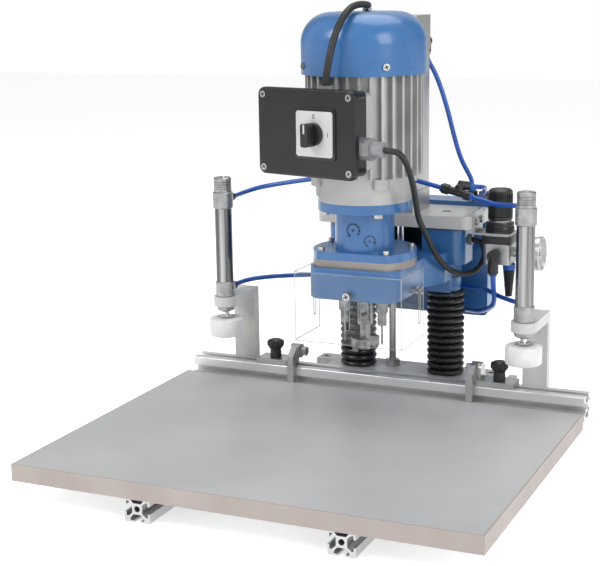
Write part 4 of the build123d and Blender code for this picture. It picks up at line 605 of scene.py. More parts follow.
for piece in (
    ring_arrow("large_turning_arrow", -0.0008, 0.2617, 0.0078, 0.0017, 8, math.radians(-45), 1),
    ring_arrow("small_turning_arrow", 0.0193, 0.2493, 0.0062, 0.0013, 6, math.radians(-110), -1),
):
    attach(piece, "head")

# ------------------------------------------------------------------ motor
# A finned aluminium stator between two end shields, all painted silver-grey, under a
# pressed steel fan cover sprayed in the machine's blue.
silver_paint = cloudy_finish(
    "silver_motor_paint", (0.41, 0.415, 0.41), (0.49, 0.495, 0.49), 0.035, (0.30, 0.46), 0.0007, 0.00007,
    metal=0.45,
)
coat(["motor_end_shields", "motor_stator", "terminal_base"], silver_paint)
cover_paint = gloss_paint(
    "blue_cover_paint", (0.030, 0.132, 0.335), (0.039, 0.155, 0.385), 0.0024, 0.00003
)
coat(["motor_fan_cover"], cover_paint)

# ------------------------------------------------------------------ switch box
# A moulded black box on the motor's terminal base, with a screwed lid.  The rotary switch
# has a light grey plate marked 0 and 1, and a black knob with a pale pointer.
box_plastic = cloudy_finish(
    "black_box_plastic", (0.006, 0.006, 0.0065), (0.011, 0.011, 0.012), 0.05, (0.24, 0.38), 0.0009, 0.00006
)
coat(["switch_box", "switch_lid"], box_plastic)
knob_plastic = cloudy_finish(
    "black_knob_plastic", (0.010, 0.010, 0.011), (0.018, 0.018, 0.019), 0.02, (0.28, 0.42), 0.0012, 0.00003
)
coat(["switch_knob"], knob_plastic)
plate_plastic = cloudy_finish(
    "grey_plate_plastic", (0.50, 0.51, 0.51), (0.57, 0.58, 0.58), 0.02, (0.32, 0.45), 0.0010, 0.00002
)
digit_ink = cloudy_finish(
    "black_ink", (0.01, 0.01, 0.01), (0.02, 0.02, 0.02), 0.004, (0.4, 0.5), 0.001, 0.00001
)


def rotated(axis, degrees):
    """A rotation about one axis."""
    return Matrix.Rotation(math.radians(degrees), 4, axis)


box_turn = Matrix.Translation((0, spindle_y, 0)) @ rotated("Z", -15)
lid_front = 0.111
plate_face = -lid_front - 0.0033
knob_face = -0.1316
switch_x = 0.015
switch_z = 0.3824


def rounded_plate(name, half, corner, back, front, edge, finish, place):
    """A square plate facing -Y with round corners and a soft front edge."""
    shape = bmesh.new()
    outline = []
    for quarter in range(4):
        centre = math.radians(45 + 90 * quarter)
        cx = math.copysign(half - corner, math.cos(centre))
        cz = math.copysign(half - corner, math.sin(centre))
        for step in range(7):
            angle = math.radians(90 * quarter + 15 * step)
            outline.append((cx + corner * math.cos(angle), cz + corner * math.sin(angle)))
    levels = [(back, 0.0), (front + edge, 0.0), (front + edge * 0.3, edge * 0.3), (front, edge)]
    rings = []
    for y, inset in levels:
        share = (half - inset) / half
        rings.append([shape.verts.new((x * share, y, z * share)) for x, z in outline])
    skin(shape, rings)
    shape.faces.new(rings[0])
    shape.faces.new(rings[-1])
    return settled(name, shape, finish, place)


switch_place = box_turn @ Matrix.Translation((switch_x, 0, switch_z))
bezel = rounded_plate(
    "switch_bezel", 0.0288, 0.004, -lid_front + 0.0005, -lid_front - 0.0016, 0.0008,
    box_plastic, switch_place,
)
switch_plate = rounded_plate(
    "switch_plate", 0.0254, 0.003, -lid_front - 0.001, plate_face, 0.0006, plate_plastic, switch_place
)


def print_text(name, text, size, ink, place):
    """Raised print: text stood upright, facing -Y, before its place is applied."""
    curve = bpy.data.curves.new(name, "FONT")
    curve.body = text
    curve.size = size
    curve.align_x = "CENTER"
    curve.align_y = "CENTER"
    curve.extrude = 0.0001
    words = bpy.data.objects.new(name + "_curve", curve)
    scene.collection.objects.link(words)
    made = plain_mesh(words, name)
    bpy.data.objects.remove(words)
    made.data.transform(place @ rotated("X", 90))
    made.data.materials.clear()
    made.data.materials.append(ink)
    return made


digit_reach = 0.0195
digits = [
    print_text(name, text, 0.0075, digit_ink, switch_place @ Matrix.Translation((x, plate_face, z)))
    for name, text, x, z in (("digit_off", "0", 0, digit_reach), ("digit_on", "1", digit_reach, 0))
]
for piece in (bezel, switch_plate, *digits):
    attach(piece, "head")
pointer = rounded_block(
    "knob_pointer", (-0.0011, knob_face - 0.0007, 0.002), (0.0011, knob_face, 0.0122), 0.0002,
    plate_plastic, switch_place,
)
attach(pointer, "switch_knob")

# ------------------------------------------------------------------ cable glands
# A grey polyamide gland screws into the box's side, where its domed nut grips the cable.
# A short collar sits on the box and a rubber entry on the carriage.
gland_plastic = cloudy_finish(
    "grey_gland_plastic", (0.20, 0.205, 0.215), (0.26, 0.265, 0.275), 0.01, (0.36, 0.5), 0.0008, 0.00004
)
coat(["cable_glands"], gland_plastic)

# ------------------------------------------------------------------ cable tie
# A white nylon tie round the motor cable where it leaves the fan cover: a flat band with its
# locking head.  It moves with the head.
tie_nylon = cloudy_finish(
    "tie_nylon", (0.72, 0.72, 0.69), (0.82, 0.82, 0.79), 0.004, (0.35, 0.5), 0.0008, 0.00002
)


def looking(place, direction):
    """A place whose own +Z points along a direction."""
    return Matrix.Translation(place) @ direction.normalized().to_track_quat("Z", "Y").to_matrix().to_4x4()


tie_place = looking((-0.0050, 0.1000, 0.5195), Vector((-0.012, 0.040, -0.004)))
tie_band = turned(
    "cable_tie_band",
    [
        (0.0034, -0.0018), (0.0041, -0.0018), (0.0044, -0.0012), (0.0044, 0.0012), (0.0041, 0.0018),
        (0.0034, 0.0018),
    ],
    tie_nylon, tie_place, steps=32, closed=True,
)
tie_head = rounded_block(
    "cable_tie_head", (0.0040, -0.0022, -0.0020), (0.0068, 0.0022, 0.0020), 0.0004, tie_nylon
)
tie_head.data.transform(tie_place @ rotated("Z", -120))
for piece in (tie_band, tie_head):
    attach(piece, "head")

# ------------------------------------------------------------------ cross slots of the pan screws
# The lid, the fan cover and the guard are held by zinc-plated pan-head screws.  Each head has
# a cross slot, drawn as a flat dark cross of painted shade.
# Painted shade: a dark finish for the flat crosses that stand in for the slots' depth.
painted_slot_shade = cloudy_finish(
    "painted_slot_shade", (0.02, 0.02, 0.02), (0.06, 0.06, 0.06), 0.002, (0.5, 0.7), 0.0006, 0.00004, metal=0.4
)


def cross_slot(name, reach, place):
    """Two crossed bars of painted shade in a screw head's face, which looks along the place's +Z."""
    shape = bmesh.new()
    for half_x, half_y in ((reach, reach * 0.22), (reach * 0.22, reach)):
        bar = bmesh.ops.create_cube(shape, size=1.0)["verts"]
        bmesh.ops.scale(shape, vec=(half_x * 2, half_y * 2, 0.0002), verts=bar)
    return settled(name, shape, painted_slot_shade, place @ rotated("Z", 20))


facing_front = rotated("X", 90)
cover_screw_r, cover_screw_z = 0.0762, 0.453
guard_side_y, guard_screw_z = 0.077, 0.187
crosses = []
for x in (-0.061, 0.061):
    for z in (-0.0415, 0.0415):
        place = box_turn @ Matrix.Translation((x, -lid_front - 0.00065, switch_z + z)) @ facing_front
        crosses.append(cross_slot("lid_screw_slot", 0.0026, place))
for angle in (-49, 41, 131, 221):
    turn = Matrix.Translation((0, spindle_y, cover_screw_z)) @ rotated("Z", angle)
    place = turn @ Matrix.Translation((cover_screw_r, 0, 0)) @ rotated("Y", 90)
    crosses.append(cross_slot("cover_screw_slot", 0.0026, place))
for x, y, angle in ((0, 0.0118, 0), (0.0717, guard_side_y, 90), (-0.0717, guard_side_y, -90)):
    turn = Matrix.Translation((x, y, guard_screw_z)) @ rotated("Z", angle)
    crosses.append(cross_slot("guard_screw_slot", 0.0030, turn @ facing_front))
for piece in crosses:
    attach(piece, "head")

# ------------------------------------------------------------------ cutting tools
# The hinge cutter is ground tool steel, darkened by heat, and so are the bits' holders.  The
# chuck's threaded hole for its clamping screw is a thin flat disc of painted shade.
cutter_steel = cloudy_finish(
    "ground_tool_steel", (0.15, 0.15, 0.155), (0.36, 0.36, 0.37), 0.008, (0.18, 0.36), 0.0006, 0.00003,
    metal=1.0,
)
coat(["centre_spindle", "side_spindle_left", "side_spindle_right", "hinge_cutter"], cutter_steel)
# A thin disc in the painted recess shade, standing for the hole.
set_screw_hole = turned(
    "set_screw_hole",
    [(0.0, -0.0003), (0.0021, -0.0003), (0.0021, 0.0), (0.0019, 0.0001), (0.0, 0.0001)],
    recess_shade,
    Matrix.Translation((0.0036, spindle_y - 0.0083, 0.1560)) @ rotated("Z", 23.5) @ facing_front,
    steps=24,
)
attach(set_screw_hole, "spindle")

# ------------------------------------------------------------------ drill guard
# A clear acrylic shield bent round three sides of the gearbox.  It hangs on three screws in
# its slots and lifts when the work pushes it up.


def clear_finish(name, first, second, size, detail, rough, alpha, stretch=(1, 1, 1)):
    """A see-through finish, whose tint and gloss follow its fine scuffs."""
    material, tree, shader = blank_finish(name)
    scuffs = object_noise(tree, size, detail, stretch)
    tree.links.new(two_tones(tree, scuffs, first, second), shader.inputs["Base Color"])
    tree.links.new(between(tree, scuffs, *rough), shader.inputs["Roughness"])
    shader.inputs["Alpha"].default_value = alpha
    return material


clear_acrylic = clear_finish(
    "clear_acrylic", (0.26, 0.29, 0.30), (0.38, 0.41, 0.42), 0.004, 5.0, (0.03, 0.16), 0.08, (1, 1, 0.15)
)
clear_acrylic.node_tree.nodes["Principled BSDF"].inputs["IOR"].default_value = 1.49
coat(["drill_guard"], clear_acrylic)
# Pale half-clear strips: the polished edges of the acrylic, and painted highlights along its bends.
polished_edge_and_fold_highlight = clear_finish(
    "polished_acrylic_edge_and_fold_highlight", (0.36, 0.40, 0.42), (0.58, 0.62, 0.63), 0.010, 2.0, (0.10, 0.30), 0.60
)
guard_low, guard_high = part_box("drill_guard")
edge_half = 0.0004


def edge_strip(name, points, loop=False):
    """A thin square strip along straight runs: one polished edge of the acrylic, or a painted highlight along
    one of its bends.
    """
    shape = bmesh.new()
    runs = list(zip(points, points[1:]))
    if loop:
        runs.append((points[-1], points[0]))
    for first, second in runs:
        made = bmesh.ops.create_cube(shape, size=1.0)["verts"]
        middle = [(a + b) / 2 for a, b in zip(first, second)]
        reach = Vector(second) - Vector(first)
        turn = reach.to_track_quat("X", "Z").to_matrix().to_4x4()
        size = Matrix.Diagonal((reach.length + edge_half, edge_half * 2, edge_half * 2, 1.0))
        bmesh.ops.transform(shape, matrix=Matrix.Translation(middle) @ turn @ size, verts=made)
    return settled(name, shape, polished_edge_and_fold_highlight)


x_out = guard_high[0] - edge_half
y_out = guard_low[1] + edge_half
cut = 0.0032
guard_strips = []
for level, z in (("top", guard_high[2] - edge_half), ("bottom", guard_low[2] + edge_half)):
    outline = [
        (-x_out, guard_high[1], z), (-x_out, y_out + cut, z), (-x_out + cut, y_out, z),
        (x_out - cut, y_out, z), (x_out, y_out + cut, z), (x_out, guard_high[1], z),
    ]
    guard_strips.append(edge_strip("guard_edge_" + level, outline))
sides = (("left", -x_out), ("right", x_out))
for side, x in sides:
    back = guard_high[1] - edge_half
    fold_x = x - math.copysign(cut, x) * 0.3
    fold_y = y_out + cut * 0.3
    # The back strips are polished edges; the fold strips are painted highlights along the two bends.
    for name, line_x, line_y in (("guard_edge_back_", x, back), ("guard_fold_", fold_x, fold_y)):
        upright = [(line_x, line_y, guard_low[2]), (line_x, line_y, guard_high[2])]
        guard_strips.append(edge_strip(name + side, upright))
slot_r, slot_foot_z = 0.0029, 0.149
slot_outline = []
for step in range(24):
    angle = math.tau * step / 24
    middle_z = guard_screw_z if step < 12 else slot_foot_z
    slot_outline.append((slot_r * math.cos(angle), middle_z + slot_r * math.sin(angle)))
guard_strips.append(edge_strip("guard_slot_front", [(a, y_out, z) for a, z in slot_outline], loop=True))
for side, x in sides:
    slot_line = [(x, guard_side_y + a, z) for a, z in slot_outline]
    guard_strips.append(edge_strip("guard_slot_" + side, slot_line, loop=True))
for piece in guard_strips:
    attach(piece, "guard")

# ------------------------------------------------------------------ feed cylinder
# A square drawn-aluminium air cylinder on the top plate pushes the head down.  Its end cap
# is held by four cap screws at the corners.
drawn_barrel = cloudy_finish(
    "drawn_barrel", (0.50, 0.50, 0.49), (0.60, 0.60, 0.59), 0.05, (0.28, 0.42), 0.0008, 0.00003,
    metal=0.85, stretch=(1, 1, 0.03),
)
coat(["feed_cylinder"], drawn_barrel)


def empty_tree(name, sockets):
    """A geometry tree with named inputs of given kinds, and one output for the copies."""
    tree = bpy.data.node_groups.new(name, "GeometryNodeTree")
    for socket, kind in sockets.items():
        tree.interface.new_socket(socket, in_out="INPUT", socket_type="NodeSocket" + kind)
    tree.interface.new_socket("Copies", in_out="OUTPUT", socket_type="NodeSocketGeometry")
    return tree, tree.nodes.new("NodeGroupInput")


def lay_copies(tree, given, points, facing=None):
    """The end of such a tree: the piece at every point, made one mesh with one finish."""
    piece = tree.nodes.new("GeometryNodeObjectInfo")
    set_down = tree.nodes.new("GeometryNodeInstanceOnPoints")
    realize = tree.nodes.new("GeometryNodeRealizeInstances")
    colour = tree.nodes.new("GeometryNodeSetMaterial")
    made = tree.nodes.new("NodeGroupOutput")
    tree.links.new(given.outputs["Piece"], piece.inputs["Object"])
    tree.links.new(points, set_down.inputs["Points"])
    tree.links.new(piece.outputs["Geometry"], set_down.inputs["Instance"])
    if facing is not None:
        tree.links.new(facing, set_down.inputs["Rotation"])
    tree.links.new(set_down.outputs["Instances"], realize.inputs["Geometry"])
    tree.links.new(realize.outputs["Geometry"], colour.inputs["Geometry"])
    tree.links.new(given.outputs["Finish"], colour.inputs["Material"])
    tree.links.new(colour.outputs["Geometry"], made.inputs["Copies"])


def grown(name, carrier, tree, values, place=None):
    """Run a tree on a carrier object with named inputs, and return its result as a plain mesh."""
    modifier = carrier.modifiers.new(name, "NODES")
    modifier.node_group = tree
    for socket in tree.interface.items_tree:
        if socket.in_out == "INPUT" and socket.name in values:
            modifier[socket.identifier] = values[socket.name]
    made = plain_mesh(carrier, name)
    carrier.modifiers.remove(modifier)
    bpy.data.objects.remove(carrier)
    if place is not None:
        made.data.transform(place)
    made.data.polygons.foreach_set("use_smooth", [True] * len(made.data.polygons))
    made.data.set_sharp_from_angle(angle=math.radians(35))
    return made


copies, copies_given = empty_tree(
    "copies_at_places", {"Places": "Geometry", "Piece": "Object", "Finish": "Material"}
)
lay_copies(copies, copies_given, copies_given.outputs["Places"])


def at_places(name, piece, places, finish):
    """One copy of a piece at each place; the pattern piece itself is removed."""
    mesh = bpy.data.meshes.new(name + "_places")
    mesh.from_pydata(places, [], [])
    carrier = bpy.data.objects.new(name + "_places", mesh)
    scene.collection.objects.link(carrier)
    made = grown(name, carrier, copies, {"Piece": piece, "Finish": finish})
    bpy.data.objects.remove(piece)
    return made


def hexagon_radii(steps, across_flats):
    """How far out a hexagon's outline lies, at each of the steps round it."""
    sixth = math.radians(60)
    angles = [math.tau * step / steps for step in range(steps)]
    return [across_flats / 2 / math.cos((angle % sixth) - sixth / 2) for angle in angles]


def socket_screw(name, head_r, head_height, finish):
    """A cap screw's head with its hexagon socket, standing on the origin."""
    shape = bmesh.new()
    steps = 24
    socket_corner_r = head_r * 0.52
    outer = [(head_r, 0.0), (head_r, head_height * 0.88), (head_r * 0.9, head_height)]
    rings = [points_round(shape, height, [radius] * steps) for radius, height in outer]
    socket = hexagon_radii(steps, socket_corner_r * math.sqrt(3))
    rings += [points_round(shape, height, socket) for height in (head_height, head_height * 0.45)]
    skin(shape, rings)
    shape.faces.new(rings[-1])
    shape.faces.new(rings[0])
    return settled(name, shape, finish)


feed_low, feed_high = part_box("feed_cylinder")
corner = 0.0215
feed_middle_y = (feed_low[1] + feed_high[1]) / 2
cylinder_screws = at_places(
    "feed_cylinder_screws",
    socket_screw("cylinder_screw", 0.0042, 0.0003, zinc_finish),
    [(x, feed_middle_y + y, feed_high[2] - 0.0001) for x in (-corner, corner) for y in (-corner, corner)],
    zinc_finish,
)
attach(cylinder_screws, "frame")

# ------------------------------------------------------------------ rear housing
# A folded sheet-steel cover for the air valves, sprayed blue.  Its back panel is screwed on
# and has two rows of louvres.
sheet_paint = gloss_paint(
    "blue_sheet_paint", (0.028, 0.128, 0.335), (0.036, 0.150, 0.38), 0.0020, 0.00004
)
coat(["rear_housing"], sheet_paint)
housing_low, housing_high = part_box("rear_housing")
panel_y = housing_high[1]
panel_middle_z = (housing_low[2] + housing_high[2]) / 2
panel_face = panel_y + 0.0011
panel = rounded_block(
    "rear_panel",
    (-0.090, panel_y - 0.0005, housing_low[2] + 0.010), (0.090, panel_y + 0.0012, housing_high[2] - 0.010),
    0.0006, sheet_paint,
)
louvre = turned(
    "louvre", [(0.0, 0.0), (0.0021, 0.0), (0.0021, 0.0008), (0.0013, 0.0020), (0.0, 0.0024)],
    sheet_paint, steps=16,
)
louvre_width, louvre_pitch = 7.0, 0.009
louvre.data.transform(rotated("X", -90) @ Matrix.Diagonal((louvre_width, 1.0, 1.0, 1.0)))
louvres = at_places(
    "rear_louvres", louvre,
    [(x, panel_face, panel_middle_z + louvre_pitch * row) for x in (-0.030, 0.030) for row in range(-3, 4)],
    sheet_paint,
)
panel_screw = socket_screw("panel_screw", 0.0032, 0.0016, zinc_finish)
panel_screw.data.transform(rotated("X", -90))
panel_screws = at_places(
    "rear_panel_screws", panel_screw,
    [
        (x, panel_face, z)
        for x in (-0.083, 0.0, 0.083)
        for z in (housing_low[2] + 0.017, housing_high[2] - 0.017)
    ],
    zinc_finish,
)
for piece, slot_name in ((panel, "machine_blue"), (louvres, "machine_blue"), (panel_screws, "screw_steel")):
    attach(piece, "frame")

# ------------------------------------------------------------------ pressure regulator
# A die-cast regulator hangs under a steel bracket at the top plate's end.  The black knob
# above is moulded with grip ribs, and turns to set the pressure.
die_cast = cloudy_finish(
    "die_cast_zinc", (0.36, 0.365, 0.37), (0.46, 0.465, 0.47), 0.02, (0.30, 0.46), 0.0008, 0.00006, metal=0.8
)
coat(["regulator_body"], die_cast)


ring, ring_given = empty_tree(
    "ring_of_copies",
    {
        "Carrier": "Geometry", "Piece": "Object", "Count": "Int", "Radius": "Float",
        "First Angle": "Float", "Step Angle": "Float", "Finish": "Material",
    },
)


def reckon(operation, first, second=None):
    """One step of arithmetic in the ring's tree."""
    node = ring.nodes.new("ShaderNodeMath")
    node.operation = operation
    ring.links.new(first, node.inputs[0])
    if second is not None:
        ring.links.new(second, node.inputs[1])
    return node.outputs["Value"]


copy_number = ring.nodes.new("GeometryNodeInputIndex").outputs["Index"]
turned_by = reckon("MULTIPLY", copy_number, ring_given.outputs["Step Angle"])
copy_angle = reckon("ADD", ring_given.outputs["First Angle"], turned_by)
copy_place = ring.nodes.new("ShaderNodeCombineXYZ")
for axis, operation in (("X", "COSINE"), ("Y", "SINE")):
    reach = reckon("MULTIPLY", reckon(operation, copy_angle), ring_given.outputs["Radius"])
    ring.links.new(reach, copy_place.inputs[axis])
copy_facing = ring.nodes.new("ShaderNodeCombineXYZ")
ring.links.new(copy_angle, copy_facing.inputs["Z"])
ring_points = ring.nodes.new("GeometryNodePoints")
ring.links.new(ring_given.outputs["Count"], ring_points.inputs["Count"])
ring.links.new(copy_place.outputs["Vector"], ring_points.inputs["Position"])
lay_copies(ring, ring_given, ring_points.outputs["Points"], copy_facing.outputs["Vector"])


def ring_of(name, piece, count, radius, finish, place, first=0.0, step=None):
    """Copies set round a circle, each turned outwards; the pattern piece itself is removed."""
    carrier = bpy.data.objects.new(name + "_carrier", bpy.data.meshes.new(name + "_carrier"))
    scene.collection.objects.link(carrier)
    values = {
        "Piece": piece, "Count": count, "Radius": radius, "First Angle": first,
        "Step Angle": step if step is not None else math.tau / count, "Finish": finish,
    }
    made = grown(name, carrier, ring, values, place)
    bpy.data.objects.remove(piece)
    return made


def above_middle(low, high, height):
    """The place at a height on the upright middle line of a box."""
    return Matrix.Translation(((low[0] + high[0]) / 2, (low[1] + high[1]) / 2, height))


regulator_x, regulator_y, neck_foot = 0.133, 0.19, 0.2425
ring_place = Matrix.Translation((regulator_x, regulator_y, neck_foot))
regulator_ring = turned(
    "regulator_neck_ring",
    [
        (0.0121, 0.0), (0.0172, 0.0), (0.0178, 0.0008), (0.0178, 0.0030), (0.0173, 0.0036),
        (0.0177, 0.0042), (0.0174, 0.0074), (0.0170, 0.0080), (0.0172, 0.0086), (0.0171, 0.0118),
        (0.0168, 0.0124), (0.0121, 0.0124),
    ],
    knob_plastic, ring_place, closed=True,
)
regulator_collar = rounded_block(
    "regulator_collar", (0.1148, 0.1718, 0.2289), (0.1512, 0.2082, 0.2399), 0.0012, knob_plastic
)
for piece in (regulator_ring, regulator_collar):
    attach(piece, "frame")
knob_low, knob_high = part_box("regulator_knob")
knob_r = (knob_high[0] - knob_low[0]) / 2
knob_height = knob_high[2] - knob_low[2]
knob_place = above_middle(knob_low, knob_high, knob_low[2])
knob_core = turned(
    "regulator_knob_core",
    [
        (0.0, 0.0), (knob_r - 0.0012, 0.0), (knob_r - 0.0004, 0.0010), (knob_r - 0.0004, 0.0040),
        (knob_r - 0.0016, 0.0046), (knob_r - 0.0016, knob_height - 0.0062),
        (knob_r - 0.0006, knob_height - 0.0056), (knob_r - 0.0008, knob_height - 0.0022),
        (knob_r - 0.0030, knob_height - 0.0002),
        (knob_r - 0.0045, knob_height), (knob_r - 0.0052, knob_height - 0.0007), (0.0, knob_height - 0.0007),
    ],
    knob_plastic, knob_place,
)
knob_rib = rounded_block(
    "knob_rib", (-0.0012, -0.0007, 0.0044), (0.0, 0.0007, knob_height - 0.0058), 0.0003, knob_plastic
)
knob_ribs = ring_of("regulator_knob_ribs", knob_rib, 30, knob_r - 0.0004, knob_plastic, knob_place)
for piece in (knob_core, knob_ribs):
    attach(piece, "regulator_knob")
    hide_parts("regulator_knob")

# ------------------------------------------------------------------ pressure gauge
# A bourdon gauge in a bright plated case, screwed into the regulator's side.  Its white dial
# is printed from 0 to 10 with a tick for each step, under a clear lens.
bright_plate = cloudy_finish(
    "bright_plate", (0.50, 0.50, 0.50), (0.56, 0.56, 0.56), 0.03, (0.26, 0.34), 0.006, 0.000003, metal=0.7
)
dial_paint = cloudy_finish(
    "white_dial", (0.80, 0.80, 0.78), (0.87, 0.87, 0.85), 0.01, (0.5, 0.6), 0.001, 0.00001
)
lens_clear = clear_finish(
    "gauge_lens", (0.88, 0.92, 0.93), (0.95, 0.97, 0.97), 0.006, 3.0, (0.02, 0.10), 0.14
)
gauge_low, gauge_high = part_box("pressure_gauge")
gauge_r = (gauge_high[1] - gauge_low[1]) / 2
gauge_axis = ((gauge_low[1] + gauge_high[1]) / 2, (gauge_low[2] + gauge_high[2]) / 2)
gauge_front = gauge_high[0]
gauge_back = gauge_front - 0.025
stem_start = gauge_low[0]
along_gauge = Matrix.Translation((0, *gauge_axis)) @ rotated("Y", 90)
gauge_case = turned(
    "gauge_case",
    [
        (0.0, stem_start), (0.0060, stem_start), (0.0060, gauge_back), (gauge_r - 0.0050, gauge_back),
        (gauge_r - 0.0022, gauge_back + 0.0012), (gauge_r - 0.0012, gauge_back + 0.0040),
        (gauge_r - 0.0012, gauge_front - 0.0062), (gauge_r, gauge_front - 0.0056),
        (gauge_r, gauge_front - 0.0010), (gauge_r - 0.0008, gauge_front), (gauge_r - 0.0020, gauge_front),
        (gauge_r - 0.0026, gauge_front - 0.0012), (gauge_r - 0.0026, gauge_front - 0.0071),
        (0.0, gauge_front - 0.0071),
    ],
    bright_plate, along_gauge, steps=72,
)
dial_x = gauge_front - 0.0069
discs = []
for name, radius, back, face, finish in (
    ("gauge_dial", gauge_r - 0.0027, gauge_front - 0.0072, dial_x, dial_paint),
    ("gauge_lens_disc", gauge_r - 0.0024, gauge_front - 0.0024, gauge_front - 0.0012, lens_clear),
):
    outline = [(0.0, back), (radius, back), (radius, face), (0.0, face)]
    discs.append(turned(name, outline, finish, along_gauge, steps=72))
tick_r = gauge_r - 0.0036
dial_face = Matrix.Translation((dial_x, *gauge_axis)) @ rotated("Y", 90)
ticks = ring_of(
    "gauge_ticks",
    rounded_block("gauge_tick", (-0.0016, -0.00022, -0.0001), (0.0, 0.00022, 0.00012), 0.0, digit_ink),
    51, tick_r, digit_ink, dial_face, first=math.radians(45), step=math.radians(5.4),
)
main_ticks = ring_of(
    "gauge_main_ticks",
    rounded_block("gauge_main_tick", (-0.0030, -0.0004, -0.0001), (0.0, 0.0004, 0.00013), 0.0, digit_ink),
    6, tick_r, digit_ink, dial_face, first=math.radians(45), step=math.radians(54),
)
number_r = gauge_r - 0.0090
numbers = []
for number in range(0, 12, 2):
    angle = math.radians(225 - 27 * number)
    y = gauge_axis[0] + number_r * math.cos(angle)
    z = gauge_axis[1] + number_r * math.sin(angle)
    spot = Matrix.Translation((dial_x, y, z)) @ rotated("Z", 90)
    numbers.append(print_text("gauge_number_%d" % number, str(number), 0.0044, digit_ink, spot))
for piece in (gauge_case, *discs, ticks, main_ticks, *numbers):
    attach(piece, "frame")
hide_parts("pressure_gauge")
coat(["gauge_needle"], knob_plastic)

# ------------------------------------------------------------------ air fittings
# Black polyamide push-in fittings and elbows.  Every hose end goes through a blue release
# collar, and a ribbed bend guard hangs below the supply coupling.
fitting_plastic = cloudy_finish(
    "black_fitting_plastic", (0.012, 0.012, 0.013), (0.022, 0.022, 0.024), 0.012, (0.30, 0.44),
    0.0010, 0.00004,
)
coat(["air_fittings"], fitting_plastic)
collar_blue = cloudy_finish(
    "blue_release_collar", (0.010, 0.09, 0.38), (0.014, 0.12, 0.46), 0.006, (0.3, 0.42), 0.0008, 0.00002
)
collar_profile = [
    (0.0031, -0.0006), (0.0042, -0.0006), (0.0042, 0.0012), (0.0050, 0.0014), (0.0050, 0.0024),
    (0.0045, 0.0029), (0.0031, 0.0029),
]
for hose_name, route in hose_routes.items():
    for end, (mouth, away) in (("first", route[:2]), ("last", (route[-1], route[-2]))):
        release_collar = turned(
            hose_name + "_collar_" + end, collar_profile, collar_blue,
            looking(mouth, Vector(away) - Vector(mouth)), steps=24, closed=True,
        )
        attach(release_collar, "frame")
supply_x, supply_y, supply_top = 0.145, 0.19, 0.204
bend_guard_foot = -0.0418
bend_guard_profile = [(0.0, bend_guard_foot)]
for step in range(12):
    low = bend_guard_foot + 0.0028 * step
    swell = 0.0038 + (0.0066 - 0.0038) * step / 11
    for out, up in ((0, 0), (0.0009, 0.0006), (0.0009, 0.0015), (0, 0.0021)):
        bend_guard_profile.append((swell + out, low + up))
bend_guard_profile.append((0.0, -0.0080))
supply_place = Matrix.Translation((supply_x, supply_y, supply_top))
bend_guard = turned("supply_bend_guard", bend_guard_profile, fitting_plastic, supply_place, steps=32)
supply_collar = turned(
    "supply_collar",
    [
        (0.0, -0.0084), (0.0070, -0.0084), (0.0078, -0.0076), (0.0078, -0.0010), (0.0072, -0.0002),
        (0.0, -0.0002),
    ],
    collar_blue, supply_place, steps=32,
)
for piece in (bend_guard, supply_collar):
    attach(piece, "frame")

# ------------------------------------------------------------------ work clamps
# Two round steel air cylinders screw into painted brackets behind the fence.  Each rod ends
# in a white nylon pad, turned with a soft edge, which presses on the work.
# The tube's colour runs in long upright streaks from near black to pale: painted reflections of a studio.
# The fine drawing lines set only its gloss and relief.
tube_steel, tree, shader = blank_finish("drawn_steel_painted_reflections")
painted_reflection_streaks = object_noise(tree, 0.0055, 2.5, (1, 1, 0.012))
fine_lines = object_noise(tree, 0.0006, 2.0, (1, 1, 0.02))
painted_reflection_tone = two_tones(tree, painted_reflection_streaks, (0.12, 0.12, 0.122), (0.42, 0.42, 0.42), 0.40, 0.60)
tree.links.new(painted_reflection_tone, shader.inputs["Base Color"])
tree.links.new(between(tree, fine_lines, 0.16, 0.30), shader.inputs["Roughness"])
relief(tree, shader, fine_lines, 0.00001)
shader.inputs["Metallic"].default_value = 1.0
cap_metal = cloudy_finish(
    "turned_cap_metal", (0.32, 0.32, 0.32), (0.44, 0.44, 0.44), 0.008, (0.30, 0.44), 0.0007, 0.00004,
    metal=0.95, stretch=(0.2, 0.2, 1),
)
clamp_x, clamp_y = 0.19425, 0.082
tube_bottom, tube_top = 0.178, 0.272
tube_r, tube_overlap = 0.01075, 0.0002
low_port_z, high_port_z = 0.168, 0.2823
lower_profile = [(0.0, 0.1391), (0.0060, 0.1391)]
for step in range(12):
    z = 0.1393 + 0.0016 * step
    lower_profile += [(0.0064, z), (0.0070, z + 0.0005), (0.0070, z + 0.0009), (0.0064, z + 0.0014)]
lower_profile += [
    (0.0070, 0.1590), (0.0112, 0.1590), (0.0120, 0.1598), (0.0120, tube_bottom - 0.0008),
    (0.0112, tube_bottom), (0.0, tube_bottom),
]
tube_profile = [
    (0.0, tube_bottom - tube_overlap), (tube_r, tube_bottom - tube_overlap),
    (tube_r, tube_top + tube_overlap), (0.0, tube_top + tube_overlap),
]
upper_profile = [
    (0.0, tube_top), (0.0116, tube_top), (0.0125, tube_top + 0.0009), (0.0125, 0.2918), (0.0116, 0.2926),
    (0.0110, 0.2927),
]
for step in range(4):
    z = 0.2962 + 0.0028 * step
    upper_profile += [(0.0110, z), (0.0102, z + 0.0004), (0.0102, z + 0.0009), (0.0110, z + 0.0013)]
upper_profile += [(0.0110, 0.3096), (0.0098, 0.3108), (0.0040, 0.3109), (0.0034, 0.3096), (0.0, 0.3096)]
port_profile = [(0.0, 0.0), (0.0055, 0.0), (0.0055, 0.0195), (0.0049, 0.0200), (0.0, 0.0200)]
port_ring_profile = [
    (0.0, 0.0200), (0.0050, 0.0200), (0.0054, 0.0206), (0.0054, 0.0234), (0.0048, 0.0239), (0.0, 0.0239),
]


